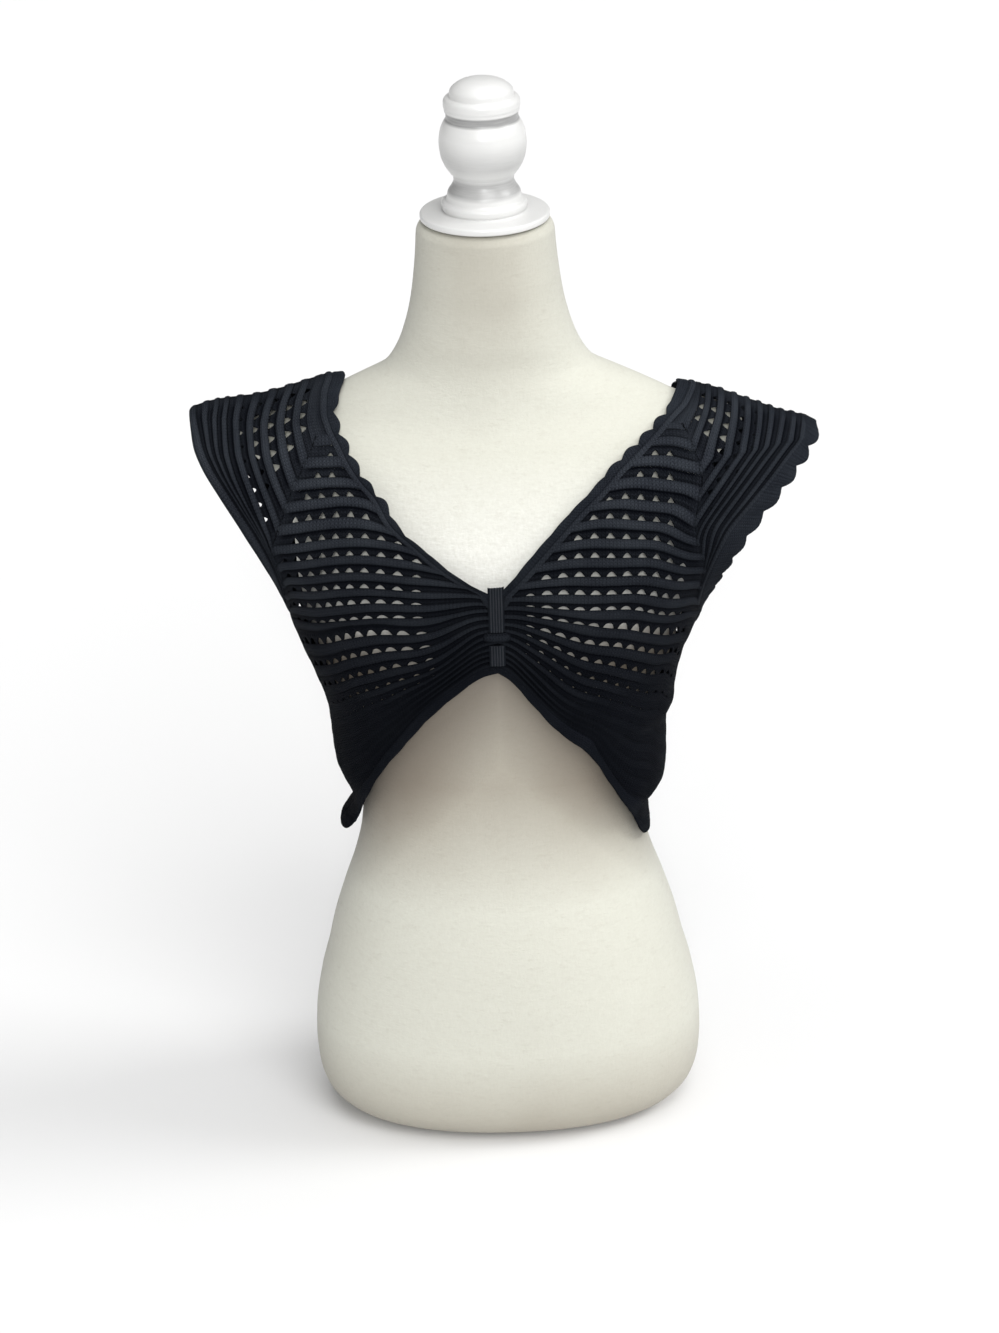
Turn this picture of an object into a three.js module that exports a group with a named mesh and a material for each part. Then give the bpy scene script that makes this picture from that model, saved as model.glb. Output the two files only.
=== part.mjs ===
import * as THREE from "three";

// A sleeveless openwork knit top on a limbless dress form with a turned neck cap.
// Millimetres. +Z is up, the front faces -Y, and -X is the wearer's right.
// The origin is the middle of the flat underside of the form.

const wall = 1.7; // cloth thickness
const seamGap = 0.3; // space between neighbouring pieces
const trimGap = 1.6; // the same space where both edges curve
const neckTrimWidth = 10;
const armTrimWidth = 15;
const turnedUnder = 1.7; // clear space between the cloth and a trim turned under it
const hemTrimWidth = 7;
const tabWidth = 13;
const tabLift = 0.95; // clear space between the gathers and the tab

const planPower = 2.3; // roundness of the cloth seen from above
const shoulderPower = { front: 1.6, back: 1.65 }; // roundness of the cloth up to the shoulder, seen from the side
const shoulderStart = { front: 520, back: 520 }; // height where the cloth starts to lean back to the shoulder
const armholeOpen = 0.6; // half opening of the armhole as a share of the depth
const vPoint = 518; // foot of the neck V
const frontHemTop = 448; // top of the inverted V of the front hem
const gatherDepth = 1.6;
const gatherCount = 3;

// Places along the patch rows, counted 0 at the shoulder and 1 at the hem.
const neckRow = 0.6; // row that meets the foot of the neckline
const armRow = 0.72; // row that meets the underarm
const neckBand = { front: 0.05, back: 0.012 }; // rows taken by the neck trim below the neckline
const armBand = 0.018; // rows taken by the armhole trim below the underarm
const neckSlack = { front: 0.0085, back: 0.006 }; // rows left free below the neck trim
const armSlack = 0.0014; // rows left free below the armhole trim
const hemRow = 0.8; // row from which the rows lean to follow the hem

const named = (columns, data) => data.map((row) => Object.fromEntries(columns.map((c, i) => [c, row[i]])));

const formSections = named(["z", "half", "front", "back", "power"], [
  [0, 118, 66, 68, 2.2],
  [4, 134, 80, 82, 2.2],
  [12, 147, 91, 93, 2.2],
  [26, 158, 99, 101, 2.2],
  [44, 163, 103, 105, 2.2],
  [66, 164.5, 105, 107, 2.2],
  [90, 163.5, 106, 109, 2.2],
  [126, 157.5, 106, 111, 2.2],
  [150, 151, 105, 111, 2.2],
  [175, 145, 103, 110, 2.2],
  [205, 135.5, 98, 106, 2.2],
  [235, 125, 91, 99, 2.2],
  [262, 118.5, 86, 91, 2.2],
  [290, 115.5, 83, 86, 2.2],
  [312, 114, 82, 82, 2.2],
  [345, 120, 86, 80, 2.2],
  [385, 130, 93, 80, 2.2],
  [430, 145, 103, 83, 2.5],
  [470, 155, 110, 86, 2.75],
  [505, 161, 114, 90, 2.85],
  [540, 163, 110, 91, 2.6],
  [570, 168, 101, 88, 2.3],
  [592, 184, 91, 79, 2.1],
  [606, 197, 83, 71, 1.95],
  [616, 203, 76, 64, 1.85],
  [625, 197, 69, 58, 1.78],
  [633, 178, 63, 54, 1.72],
  [641, 153, 59, 53, 1.7],
  [650, 135, 56, 53, 1.7],
  [659, 116, 54, 53, 1.72],
  [665, 102, 53, 54, 1.76],
  [672, 86, 52, 55, 1.82],
  [684, 76, 51, 56, 1.95],
  [699, 69, 52, 56, 2.05],
  [724, 62, 52, 55, 2.1],
  [746, 58.5, 53, 54, 2.1],
  [770, 56, 53, 53, 2.05],
  [784, 55, 53, 53, 2],
  [789, 53, 51, 51, 2],
  [792, 48, 46, 46, 2],
  [793, 42, 40, 40, 2],
]);

const capProfile = named(["radius", "z"], [
  [0, 793.3],
  [49.5, 793.3],
  [51.6, 794.8],
  [51.6, 797.6],
  [50.2, 799],
  [35, 799.8],
  [33, 801.2],
  [34.2, 803],
  [34.2, 806],
  [33, 808],
  [30.6, 808.8],
  [29.8, 810],
  [29, 815],
  [25.4, 821],
  [23.9, 825],
  [24.4, 829],
  [26.2, 831],
  [30.8, 838],
  [33.7, 846],
  [34.7, 855],
  [33.8, 864],
  [31.4, 871],
  [29.6, 874],
  [28.6, 876],
  [28.6, 880],
  [29.8, 881.5],
  [29.8, 883.5],
  [30.4, 885],
  [30.4, 889],
  [28.6, 892],
  [25.6, 893],
  [25.2, 897],
  [21.5, 901.5],
  [14, 905.3],
  [6, 906.8],
  [0, 907],
]);

// Outer edge of the cloth, armhole above the underarm and side seam below it.
const outerEdge = {
  right: named(["z", "x"], [
    [267, 136],
    [271, 134],
    [275, 130.8],
    [280, 127],
    [286, 124.3],
    [293, 123.3],
    [300, 125],
    [306, 128],
    [331, 138],
    [379, 142.5],
    [414, 153],
    [440, 163],
    [462, 170],
    [486, 174.5],
    [510, 180],
    [534, 189],
    [558, 202.5],
    [582, 218],
    [606, 233.5],
    [618, 239],
    [630, 241.5],
    [637, 243],
  ]),
  left: named(["z", "x"], [
    [257, 124],
    [269, 124],
    [279, 123.3],
    [288, 123.5],
    [294, 127],
    [300, 133],
    [308, 137],
    [322, 139],
    [361, 139.5],
    [378, 146],
    [390, 147],
    [425, 155],
    [441, 162],
    [457, 168.5],
    [481, 177],
    [505, 185.5],
    [529, 197],
    [553, 214],
    [577, 236.5],
    [589, 248],
    [601, 259.5],
    [608, 267],
  ]),
};

const shoulderLine = {
  right: named(["x", "z"], [
    [0, 662],
    [113, 663.5],
    [129, 664],
    [148, 659.5],
    [171, 653],
    [190, 649],
    [219, 646],
    [240, 640],
    [243, 637],
  ]),
  left: named(["x", "z"], [
    [0, 662],
    [120, 656],
    [147, 649.4],
    [162, 648],
    [177, 645],
    [193, 639],
    [208, 633],
    [223, 627],
    [236, 622],
    [248, 619],
    [258, 614.5],
    [267, 608],
  ]),
};

const depths = named(["z", "front", "back"], [
  [250, 98, 103],
  [270, 97, 99],
  [310, 97, 92],
  [345, 99, 90],
  [385, 103, 90],
  [430, 110, 92],
  [448, 113, 93],
  [490, 120, 97],
  [520, 122, 100],
  [570, 122, 104],
  [660, 120, 104],
]);

const neckline = {
  front: {
    right: named(["x", "z"], [
      [116, 663.4],
      [120.5, 656],
      [121.5, 646],
      [118, 636],
      [112, 626],
      [105, 614],
      [95, 601],
      [85, 591],
      [74, 572],
      [52, 553],
      [31, 536],
      [12, 524],
      [0, vPoint],
    ]),
    left: named(["x", "z"], [
      [151, 648.9],
      [143, 641.5],
      [131, 634.5],
      [119, 626.5],
      [105, 617],
      [93, 608],
      [77, 593],
      [61, 580],
      [44, 564],
      [28, 548],
      [10, 528],
      [0, vPoint],
    ]),
  },
  back: {
    right: named(["x", "z"], [
      [116, 663.4],
      [120, 654],
      [117, 640],
      [105, 624],
      [82, 608],
      [52, 597],
      [25, 592],
      [0, 590.5],
    ]),
    left: named(["x", "z"], [
      [151, 648.9],
      [150, 640],
      [142, 626],
      [122, 611],
      [90, 599],
      [52, 592.5],
      [22, 590.7],
      [0, 590.5],
    ]),
  },
};

const hemline = {
  front: {
    right: named(["x", "z"], [
      [0, frontHemTop],
      [11, 445],
      [25, 435],
      [55, 405.5],
      [77, 376],
      [99, 343],
      [109, 321],
      [115.5, 300],
      [118, 289.5],
      [122, 281],
      [128, 273.5],
      [136, 267],
    ]),
    left: named(["x", "z"], [
      [0, frontHemTop],
      [9, 441],
      [21, 424.5],
      [45, 391],
      [73, 361],
      [90, 329],
      [105.5, 297],
      [112, 277],
      [117.3, 264.5],
      [124, 257],
    ]),
  },
  back: {
    right: named(["x", "z"], [
      [0, 262],
      [45, 262],
      [85, 264],
      [112, 265.5],
      [136, 267],
    ]),
    left: named(["x", "z"], [
      [0, 262],
      [45, 261],
      [90, 258],
      [124, 257],
    ]),
  },
};

const underarm = { right: 462, left: 457 };
const sign = { right: -1, left: 1 };
const mix = (a, b, t) => a + (b - a) * t;
const clamp = (value, low, high) => Math.min(high, Math.max(low, value));
const span = (from, to, steps) => Array.from({ length: steps + 1 }, (_, i) => mix(from, to, i / steps));

// Smooth curve through table values that never overshoots them.
function curve(xs, ys) {
  const last = xs.length - 1;
  const slopes = xs.slice(1).map((x, i) => (ys[i + 1] - ys[i]) / (x - xs[i]));
  const tangents = xs.map((_, i) => {
    if (i === 0) return slopes[0];
    if (i === last) return slopes[last - 1];
    const a = slopes[i - 1];
    const b = slopes[i];
    return a * b <= 0 ? 0 : (2 * a * b) / (a + b);
  });
  return (x) => {
    const at = clamp(x, xs[0], xs[last]);
    let i = 0;
    while (i < last - 1 && at > xs[i + 1]) i += 1;
    const h = xs[i + 1] - xs[i];
    const t = (at - xs[i]) / h;
    const rise = ys[i + 1] - ys[i];
    const start = h * tangents[i];
    const end = h * tangents[i + 1];
    return ys[i] + t * (start + t * (3 * rise - 2 * start - end + t * (start + end - 2 * rise)));
  };
}

const column = (table, key) => table.map((row) => row[key]);
const lookup = (table, from, to) => curve(column(table, from), column(table, to));

// Curve through the rows of an x, z table, counted 0 to 1 along its length.
function path(table) {
  const reach = [0];
  for (let i = 1; i < table.length; i += 1) {
    reach.push(reach[i - 1] + Math.hypot(table[i].x - table[i - 1].x, table[i].z - table[i - 1].z));
  }
  const share = reach.map((length) => length / reach[reach.length - 1]);
  const x = curve(share, column(table, "x"));
  const z = curve(share, column(table, "z"));
  return (s) => ({ x: x(s), z: z(s) });
}

const bySide = (make) => ({ right: make("right"), left: make("left") });
const edgeAt = bySide((side) => lookup(outerEdge[side], "z", "x"));
const shoulderAt = bySide((side) => lookup(shoulderLine[side], "x", "z"));
const depthAt = { front: lookup(depths, "z", "front"), back: lookup(depths, "z", "back") };
const neckPath = { front: bySide((side) => path(neckline.front[side])), back: bySide((side) => path(neckline.back[side])) };
const hemPath = { front: bySide((side) => path(hemline.front[side])), back: bySide((side) => path(hemline.back[side])) };
const tip = bySide((side) => outerEdge[side][outerEdge[side].length - 1]);

// Half width of the full plan curve at a height: the cloth edge cuts it short at the armhole.
function planHalf(side, z) {
  const rise = clamp((z - underarm[side]) / 90, 0, 1);
  const open = armholeOpen * (1 - (1 - rise) ** 1.8);
  return edgeAt[side](z) / (1 - open ** planPower) ** (1 / planPower);
}

// Turn about the plan curve, 0 at the centre and a right angle at the side seam.
function turnOf(side, x, z) {
  return Math.asin(clamp(x / planHalf(side, z), 0, 1) ** (planPower / 2));
}

// How far the cloth at a height still stands off the side-seam plane: it closes over the shoulder.
function closing(face, side, x, z) {
  const start = shoulderStart[face];
  const up = clamp((z - start) / (shoulderAt[side](x) - start), 0, 1);
  return (1 - up ** shoulderPower[face]) ** (1 / shoulderPower[face]);
}

// Gathers that fan out from the tab: troughs that fade away from the centre.
function gather(face, x, v) {
  if (face === "back" || v < neckRow) return 0;
  const wave = 0.5 - 0.5 * Math.cos((2 * Math.PI * gatherCount * (v - neckRow)) / (1 - neckRow));
  return gatherDepth * wave * Math.exp(-((x / 42) ** 2));
}

function innerPoint(face, side, v) {
  if (v <= neckRow) return neckPath[face][side]((v / neckRow) ** 1.35);
  const foot = neckPath[face][side](1).z;
  const hem = hemPath[face][side](0).z;
  return { x: 0, z: mix(foot, hem, (v - neckRow) / (1 - neckRow)) };
}

function outerPoint(face, side, v) {
  const s = v / armRow;
  const eased = 0.5 * s + 0.25 * (1 - Math.cos(Math.PI * s));
  const corner = hemPath[face][side](1).z;
  const z = v <= armRow ? mix(tip[side].z, underarm[side], eased) : mix(underarm[side], corner, (v - armRow) / (1 - armRow));
  return { x: edgeAt[side](z), z };
}

// One half of the front or back, between neck edge (u 0) and armhole edge (u 1), shoulder (v 0) and hem (v 1).
// Its edges are laid out by turn and height, and the space between them is filled evenly.
function clothPoint(face, side, u, v) {
  const laid = (point) => ({ turn: turnOf(side, point.x, point.z), z: point.z });
  const inner = laid(innerPoint(face, side, v));
  const outer = laid(outerPoint(face, side, v));
  const neckEdge = innerPoint(face, side, 0);
  const topX = mix(neckEdge.x, tip[side].x, u);
  const top = laid({ x: topX, z: shoulderAt[side](topX) });
  const topStart = laid(neckEdge);
  const topEnd = laid(tip[side]);
  const hem = laid(hemPath[face][side](u));
  const hemStart = laid(hemPath[face][side](0));
  const hemEnd = laid(hemPath[face][side](1));
  const at = (k) => mix(inner[k], outer[k], u)
    + (1 - v) * (top[k] - mix(topStart[k], topEnd[k], u))
    + v * (hem[k] - mix(hemStart[k], hemEnd[k], u));
  const z = at("z");
  const turn = clamp(at("turn"), 0, Math.PI / 2);
  const x = planHalf(side, z) * Math.sin(turn) ** (2 / planPower);
  const depth = depthAt[face](z) * Math.max(Math.cos(turn), 0) ** (2 / planPower) * closing(face, side, x, z);
  const y = Math.max(depth - gather(face, x, v), 0);
  const middle = face === "front" ? seamGap / 2 : 0;
  const out = face === "front" ? -1 : 1;
  return new THREE.Vector3(sign[side] * Math.max(x, middle), out * (y + seamGap / 2), z);
}

// Length of a row over the cloth from its inner to its outer edge.
function rowLength(face, side, v) {
  const points = span(0, 1, 6).map((u) => clothPoint(face, side, u, v));
  return points.slice(1).reduce((sum, point, i) => sum + point.distanceTo(points[i]), 0);
}

// Share of the row taken by a trim, closing to nothing where its band turns the corner.
function trimShare(face, side, v, end, width) {
  const s = v / end;
  return s >= 0.9999 ? 0 : (width / rowLength(face, side, v)) * Math.sqrt(1 - s ** 4);
}

// Ends of a panel row, clear of the trims.
function panelEnds(face, side, v) {
  const gap = trimGap / rowLength(face, side, v);
  const neck = trimShare(face, side, v, neckRow + neckBand[face] + neckSlack[face], neckTrimWidth);
  const arm = side === "right" ? 0 : trimShare(face, side, v, armRow + armBand + armSlack, armTrimWidth);
  return { from: neck > 0 ? neck + gap : 0, to: arm > 0 ? 1 - arm - gap : 1 };
}

const lastRow = (face, u) => 1 - hemShare(face, u) - hemSlack(face, u);

// Share of the rows taken by the hem trim: the rows crowd together at the tab.
function hemShare(face, u) {
  return face === "front" ? mix(0.04, 0.0105, u) : mix(0.0085, 0.0105, u);
}

function hemSlack(face, u) {
  return face === "front" ? mix(0.009, 0.0055, u) : 0.0014;
}

// Closed solid from matching outer and inner points: every open edge of the quads gets a wall.
function wallSolid(outer, inner, quads) {
  const index = [];
  const used = new Set();
  const open = [];
  quads.forEach(([a, b, c, d]) => {
    const [e, f, g, h] = [a, b, c, d].map((k) => k + outer.length);
    index.push(a, b, c, a, c, d, e, g, f, e, h, g);
    [[a, b], [b, c], [c, d], [d, a]].forEach((edge) => {
      used.add(edge.join());
      open.push(edge);
    });
  });
  open.filter(([a, b]) => !used.has([b, a].join())).forEach(([a, b]) => {
    const [e, f] = [a + outer.length, b + outer.length];
    index.push(a, f, b, a, e, f);
  });
  return solidGeometry([...outer, ...inner], index);
}

// Quads of a grid whose rows and columns are named by a function.
function gridQuads(rows, columns, at) {
  const quads = [];
  for (let i = 0; i < rows - 1; i += 1) {
    for (let j = 0; j < columns - 1; j += 1) {
      quads.push([at(i, j), at(i + 1, j), at(i + 1, j + 1), at(i, j + 1)]);
    }
  }
  return quads;
}

// Indexed geometry with its faces turned outward.
function solidGeometry(points, index) {
  let volume = 0;
  for (let i = 0; i < index.length; i += 3) {
    const [a, b, c] = [points[index[i]], points[index[i + 1]], points[index[i + 2]]];
    volume += a.dot(new THREE.Vector3().crossVectors(b, c));
  }
  const turned = volume > 0 ? index : index.slice().reverse();
  const geometry = new THREE.BufferGeometry();
  geometry.setAttribute("position", new THREE.Float32BufferAttribute(points.flatMap((p) => p.toArray()), 3));
  geometry.setIndex(turned);
  geometry.computeVertexNormals();
  return geometry;
}

// Normal of a surface function, kept in the seam plane where the cloth ends on it.
function surfaceNormal(surface, a, b, wraps) {
  const step = 0.002;
  const before = wraps ? a - step : Math.max(a - step, 0);
  const after = wraps ? a + step : Math.min(a + step, 1);
  const along = surface(after, b).sub(surface(before, b));
  const across = surface(a, Math.min(b + step, 1)).sub(surface(a, Math.max(b - step, 0)));
  const normal = new THREE.Vector3().crossVectors(along, across).normalize();
  const here = surface(a, b);
  if (!wraps && Math.abs(here.y) < seamGap / 2 + 0.01) normal.setY(0).normalize();
  if (Math.abs(here.x) < seamGap / 2 + 0.01) normal.setX(0).normalize();
  return normal;
}

// Grid of points on a surface, sunk under it if asked, and the same grid one wall thickness in.
function clothGrid(surface, alongSteps, acrossSteps, wraps = false, sink = 0) {
  const outer = alongSteps.flatMap((a) => acrossSteps.map((b) => surface(a, b)));
  const normals = alongSteps.flatMap((a) => acrossSteps.map((b) => surfaceNormal(surface, a, b, wraps)));
  const facing = (point, normal) => Math.sign(normal.dot(new THREE.Vector3(0.4 * point.x, point.y, 40)));
  const offset = (deep) => outer.map((point, k) => {
    return point.clone().addScaledVector(normals[k], -deep * facing(point, normals[k]));
  });
  return { outer: offset(sink), inner: offset(sink + wall) };
}

// Cloth wall over a whole surface, closed into a ring when it wraps.
function clothWall(surface, alongSteps, acrossSteps, wraps = false, sink = 0) {
  const { outer, inner } = clothGrid(surface, alongSteps, acrossSteps, wraps, sink);
  const rows = alongSteps.length;
  const at = (i, j) => (i % rows) * acrossSteps.length + j;
  return wallSolid(outer, inner, gridQuads(wraps ? rows + 1 : rows, acrossSteps.length, at));
}

// Rounded lobes along an edge, 0 at the crest of a lobe and 1 in the notch.
const notch = (s, lobes) => 1 - Math.abs(Math.sin(Math.PI * lobes * s));

// Band between two edge curves, its outer edge drawn in square to itself by a lobe depth.
function bandSurface(edge, inside, lobeCut) {
  return (s, t) => {
    const along = edge(Math.min(s + 0.003, 1)).sub(edge(Math.max(s - 0.003, 0))).normalize();
    const inward = inside(s).sub(edge(s));
    inward.addScaledVector(along, -inward.dot(along)).normalize();
    return edge(s).addScaledVector(inward, lobeCut(s)).lerp(inside(s), t);
  };
}

const neckEnd = (face) => neckRow + neckBand[face] + neckSlack[face];
const armEnd = { right: armRow, left: armRow + armBand + armSlack };
const panelRows = (face, side) => [
  ...span(0, 0.12, 4),
  ...span(0.16, 0.52, 8),
  ...span(0.55, 0.59, 2),
  mix(0.59, neckEnd(face), 0.6),
  neckEnd(face),
  ...span(0.675, 0.705, 2),
  mix(0.705, armEnd[side], 0.5),
  armEnd[side],
  ...span(0.77, 1, 7),
];
const frontColumns = [...span(0, 0.12, 3), ...span(0.19, 1, 12)];
const backColumns = [...span(0, 0.76, 7), 0.84, 0.9, 0.95, 1];

// Half of a panel between its trims, counted by rows down and columns out from the middle.
function panelSurface(face, side) {
  return (b, a) => {
    const v = b < hemRow ? b : mix(hemRow, lastRow(face, a), (b - hemRow) / (1 - hemRow));
    const { from, to } = panelEnds(face, side, v);
    return clothPoint(face, side, mix(from, to, a), v);
  };
}

const frontPanel = (side) => clothWall(panelSurface("front", side), panelRows("front", side), frontColumns);

// Back panel: two halves that share their middle column from the neck trim down.
function backPanel() {
  const rows = panelRows("back", "left");
  const halves = bySide((side) => clothGrid(panelSurface("back", side), panelRows("back", side), backColumns));
  const joined = rows.findIndex((v) => v === neckEnd("back"));
  const width = backColumns.length;
  const count = rows.length * width;
  const right = (i, j) => i * width + j;
  const left = (i, j) => (j === 0 && i >= joined ? right(i, 0) : count + i * width + j);
  const mirrored = gridQuads(rows.length, width, left).map((quad) => quad.slice().reverse());
  const quads = [...gridQuads(rows.length, width, right), ...mirrored];
  const used = [...new Set(quads.flat())].sort((a, b) => a - b);
  const place = new Map(used.map((old, k) => [old, k]));
  const outer = [...halves.right.outer, ...halves.left.outer];
  const inner = [...halves.right.inner, ...halves.left.inner];
  const kept = quads.map((quad) => quad.map((old) => place.get(old)));
  return wallSolid(used.map((k) => outer[k]), used.map((k) => inner[k]), kept);
}

// Band between the neck edge and the panel, from the shoulder to the foot of the neckline.
function neckBandSurface(face, side, lobeCut) {
  const end = neckRow + neckBand[face];
  const edge = (s) => clothPoint(face, side, 0, s * neckRow);
  const inside = (s) => clothPoint(face, side, trimShare(face, side, s * end, end, neckTrimWidth), s * end);
  return bandSurface(edge, inside, lobeCut);
}

function neckTrim(side, lobes, reach) {
  const fade = (s) => clamp((reach - s) / 0.25, 0.2, 1) * clamp(s / 0.08, 0, 1) * clamp((1 - s) / 0.05, 0, 1);
  const surface = neckBandSurface("front", side, (s) => 4 * fade(s) * notch(s, lobes));
  return clothWall(surface, span(0, 1, lobes * 4), [0, 1]);
}

function backNeckTrim() {
  const cut = (s) => 3 * clamp(s / 0.1, 0, 1) * notch(s, 10);
  const halves = bySide((side) => neckBandSurface("back", side, cut));
  const surface = (s, t) => halves[s < 0.5 ? "right" : "left"](1 - Math.abs(2 * s - 1), t);
  return clothWall(surface, span(0, 1, 80), [0, 1]);
}

// Ring round an armhole: down the front edge, past the underarm and up the back edge.
function armholeTrim(side, lobes, lobeDepth, steps, sink) {
  const end = armRow + armBand;
  const onRing = (turn, t) => {
    const around = ((turn % 1) + 1) % 1;
    const face = around < 0.5 ? "front" : "back";
    const s = 1 - Math.abs(2 * around - 1);
    const share = trimShare(face, side, s * end, end, armTrimWidth);
    const point = clothPoint(face, side, 1 - t * share, s * mix(armRow, end, t));
    const out = face === "front" ? -1 : 1;
    return point.setY(point.y - (out * seamGap) / 2);
  };
  const surface = (turn, t) => {
    const along = onRing(turn + 0.002, 0).sub(onRing(turn - 0.002, 0)).normalize();
    const inward = onRing(turn, 1).sub(onRing(turn, 0));
    inward.addScaledVector(along, -inward.dot(along)).normalize();
    const edge = onRing(turn, 0).addScaledVector(inward, lobeDepth * notch(turn, lobes));
    return edge.lerp(onRing(turn, 1), t);
  };
  return clothWall(surface, span(0, 1, steps).slice(0, -1), sink > 0 ? [0, 0.5, 1] : [0, 1], true, sink);
}

function hemBandPoint(face, side, u, t, lobes, lobeDepth) {
  const rise = (lobeDepth * notch(u, lobes)) / 7;
  const from = 1 - hemShare(face, u) * clamp(rise, 0, 0.8);
  return clothPoint(face, side, u, mix(from, 1 - hemShare(face, u), t));
}

function hemTrim(side) {
  const depth = (u) => 2 * clamp(u / 0.1, 0, 1) * clamp((1 - u) / 0.05, 0, 1);
  const surface = (a, t) => hemBandPoint("front", side, a, t, 11, depth(a));
  return clothWall(surface, span(0, 1, 30), [0, 1]);
}

function backHemTrim() {
  const surface = (a, t) => {
    const side = a < 0.5 ? "right" : "left";
    return hemBandPoint("back", side, Math.abs(2 * a - 1), t, 8, 0);
  };
  return clothWall(surface, span(0, 1, 26), [0, 1]);
}

// Upright strip over the gathers, following the depth of the front at the centre.
function tabStrip(top, bottom, width, lift) {
  const surface = (a, b) => {
    const z = mix(top, bottom, a);
    const x = (b - 0.5) * width;
    return new THREE.Vector3(x, -depthAt.front(z) - lift - wall + (x * x) / 90, z);
  };
  return clothWall(surface, span(0, 1, 5), span(0, 1, 4));
}

// Ring-by-ring solid of the form, flat below and above.
function formSolid() {
  const half = lookup(formSections, "z", "half");
  const depthOf = { front: lookup(formSections, "z", "front"), back: lookup(formSections, "z", "back") };
  const heights = column(formSections, "z").flatMap((z, i, all) => (all[i + 1] - z > 12 ? [z, (z + all[i + 1]) / 2] : [z]));
  const powerAt = lookup(formSections, "z", "power");
  const around = 48;
  const points = heights.flatMap((z) => Array.from({ length: around }, (_, k) => {
    const angle = (2 * Math.PI * k) / around;
    const c = Math.cos(angle);
    const s = Math.sin(angle);
    const depth = s < 0 ? depthOf.front(z) : depthOf.back(z);
    const round = 2 / powerAt(z);
    return new THREE.Vector3(Math.sign(c) * half(z) * Math.abs(c) ** round, Math.sign(s) * depth * Math.abs(s) ** round, z);
  }));
  const floor = points.push(new THREE.Vector3(0, 0, heights[0])) - 1;
  const roof = points.push(new THREE.Vector3(0, 0, heights[heights.length - 1])) - 1;
  const index = [];
  const topRing = (heights.length - 1) * around;
  for (let k = 0; k < around; k += 1) {
    const next = (k + 1) % around;
    for (let i = 0; i < heights.length - 1; i += 1) {
      const low = i * around;
      const high = low + around;
      index.push(low + k, low + next, high + next, low + k, high + next, high + k);
    }
    index.push(floor, next, k, roof, topRing + k, topRing + next);
  }
  return solidGeometry(points, index);
}

function capSolid() {
  const profile = capProfile.map((row) => new THREE.Vector2(row.radius, row.z));
  return new THREE.LatheGeometry(profile, 32).rotateX(Math.PI / 2);
}

const knit = () => new THREE.MeshStandardMaterial({ color: 0x14171d, roughness: 0.92, metalness: 0 });
const edging = () => new THREE.MeshStandardMaterial({ color: 0x0e1116, roughness: 0.9, metalness: 0 });
const strip = () => new THREE.MeshStandardMaterial({ color: 0x232830, roughness: 0.88, metalness: 0 });
const cover = () => new THREE.MeshStandardMaterial({ color: 0xe3dfd2, roughness: 0.95, metalness: 0 });
const painted = () => new THREE.MeshStandardMaterial({ color: 0xf0f0ec, roughness: 0.42, metalness: 0 });

const top = new THREE.Group();
top.name = "knit_shell_top";

function add(name, geometry, material) {
  const mesh = new THREE.Mesh(geometry, material);
  mesh.name = name;
  top.add(mesh);
}

add("dress_form", formSolid(), cover());
add("neck_cap", capSolid(), painted());
add("front_right", frontPanel("right"), knit());
add("front_left", frontPanel("left"), knit());
add("back_panel", backPanel(), knit());
add("tab_upper", tabStrip(526, 487, tabWidth, tabLift + 0.1), strip());
add("tab_rib", tabStrip(485.5, 478, tabWidth + 9, tabLift + 0.1), knit());
add("tab_lower", tabStrip(474, 456, tabWidth, tabLift), strip());
add("neck_trim_right", neckTrim("right", 12, 0.75), edging());
add("neck_trim_left", neckTrim("left", 12, 0.6), edging());
add("neck_trim_back", backNeckTrim(), edging());
add("armhole_trim_right", armholeTrim("right", 1, 0, 44, wall + turnedUnder), edging());
add("armhole_trim_left", armholeTrim("left", 22, 4.5, 110, 0), edging());
add("hem_trim_right", hemTrim("right"), edging());
add("hem_trim_left", hemTrim("left"), edging());
add("hem_trim_back", backHemTrim(), edging());

export default top;
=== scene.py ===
import math
import bpy
import numpy as np
from mathutils import Matrix, Vector


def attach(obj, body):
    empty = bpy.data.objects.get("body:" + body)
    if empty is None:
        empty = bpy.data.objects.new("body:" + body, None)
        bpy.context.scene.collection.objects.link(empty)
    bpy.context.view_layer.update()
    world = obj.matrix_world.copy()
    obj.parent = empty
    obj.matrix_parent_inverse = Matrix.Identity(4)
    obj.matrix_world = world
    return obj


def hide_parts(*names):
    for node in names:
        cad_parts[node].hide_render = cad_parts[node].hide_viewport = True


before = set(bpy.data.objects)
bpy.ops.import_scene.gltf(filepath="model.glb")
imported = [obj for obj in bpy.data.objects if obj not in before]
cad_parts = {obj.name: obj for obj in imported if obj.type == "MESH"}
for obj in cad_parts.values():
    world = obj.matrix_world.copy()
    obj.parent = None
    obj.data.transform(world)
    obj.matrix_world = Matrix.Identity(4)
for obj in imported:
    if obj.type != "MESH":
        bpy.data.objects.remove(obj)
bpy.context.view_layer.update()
scene = bpy.context.scene
print("frame loaded")

# ---- camera, in metres and degrees
camera = {"place": (0.0013, -3.201, 1.848), "down": 24.3, "roll": -1.66, "lens": 114.4, "film": 36}


def addCamera():
    data = bpy.data.cameras.new("camera")
    data.lens = camera["lens"]
    data.sensor_width = camera["film"]
    eye = bpy.data.objects.new("camera", data)
    scene.collection.objects.link(eye)
    tilt = Matrix.Rotation(math.radians(90 - camera["down"]), 4, "X")
    roll = Matrix.Rotation(math.radians(camera["roll"]), 4, "Z")
    eye.matrix_world = Matrix.Translation(camera["place"]) @ tilt @ roll
    scene.camera = eye


addCamera()
print("camera placed")

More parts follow.
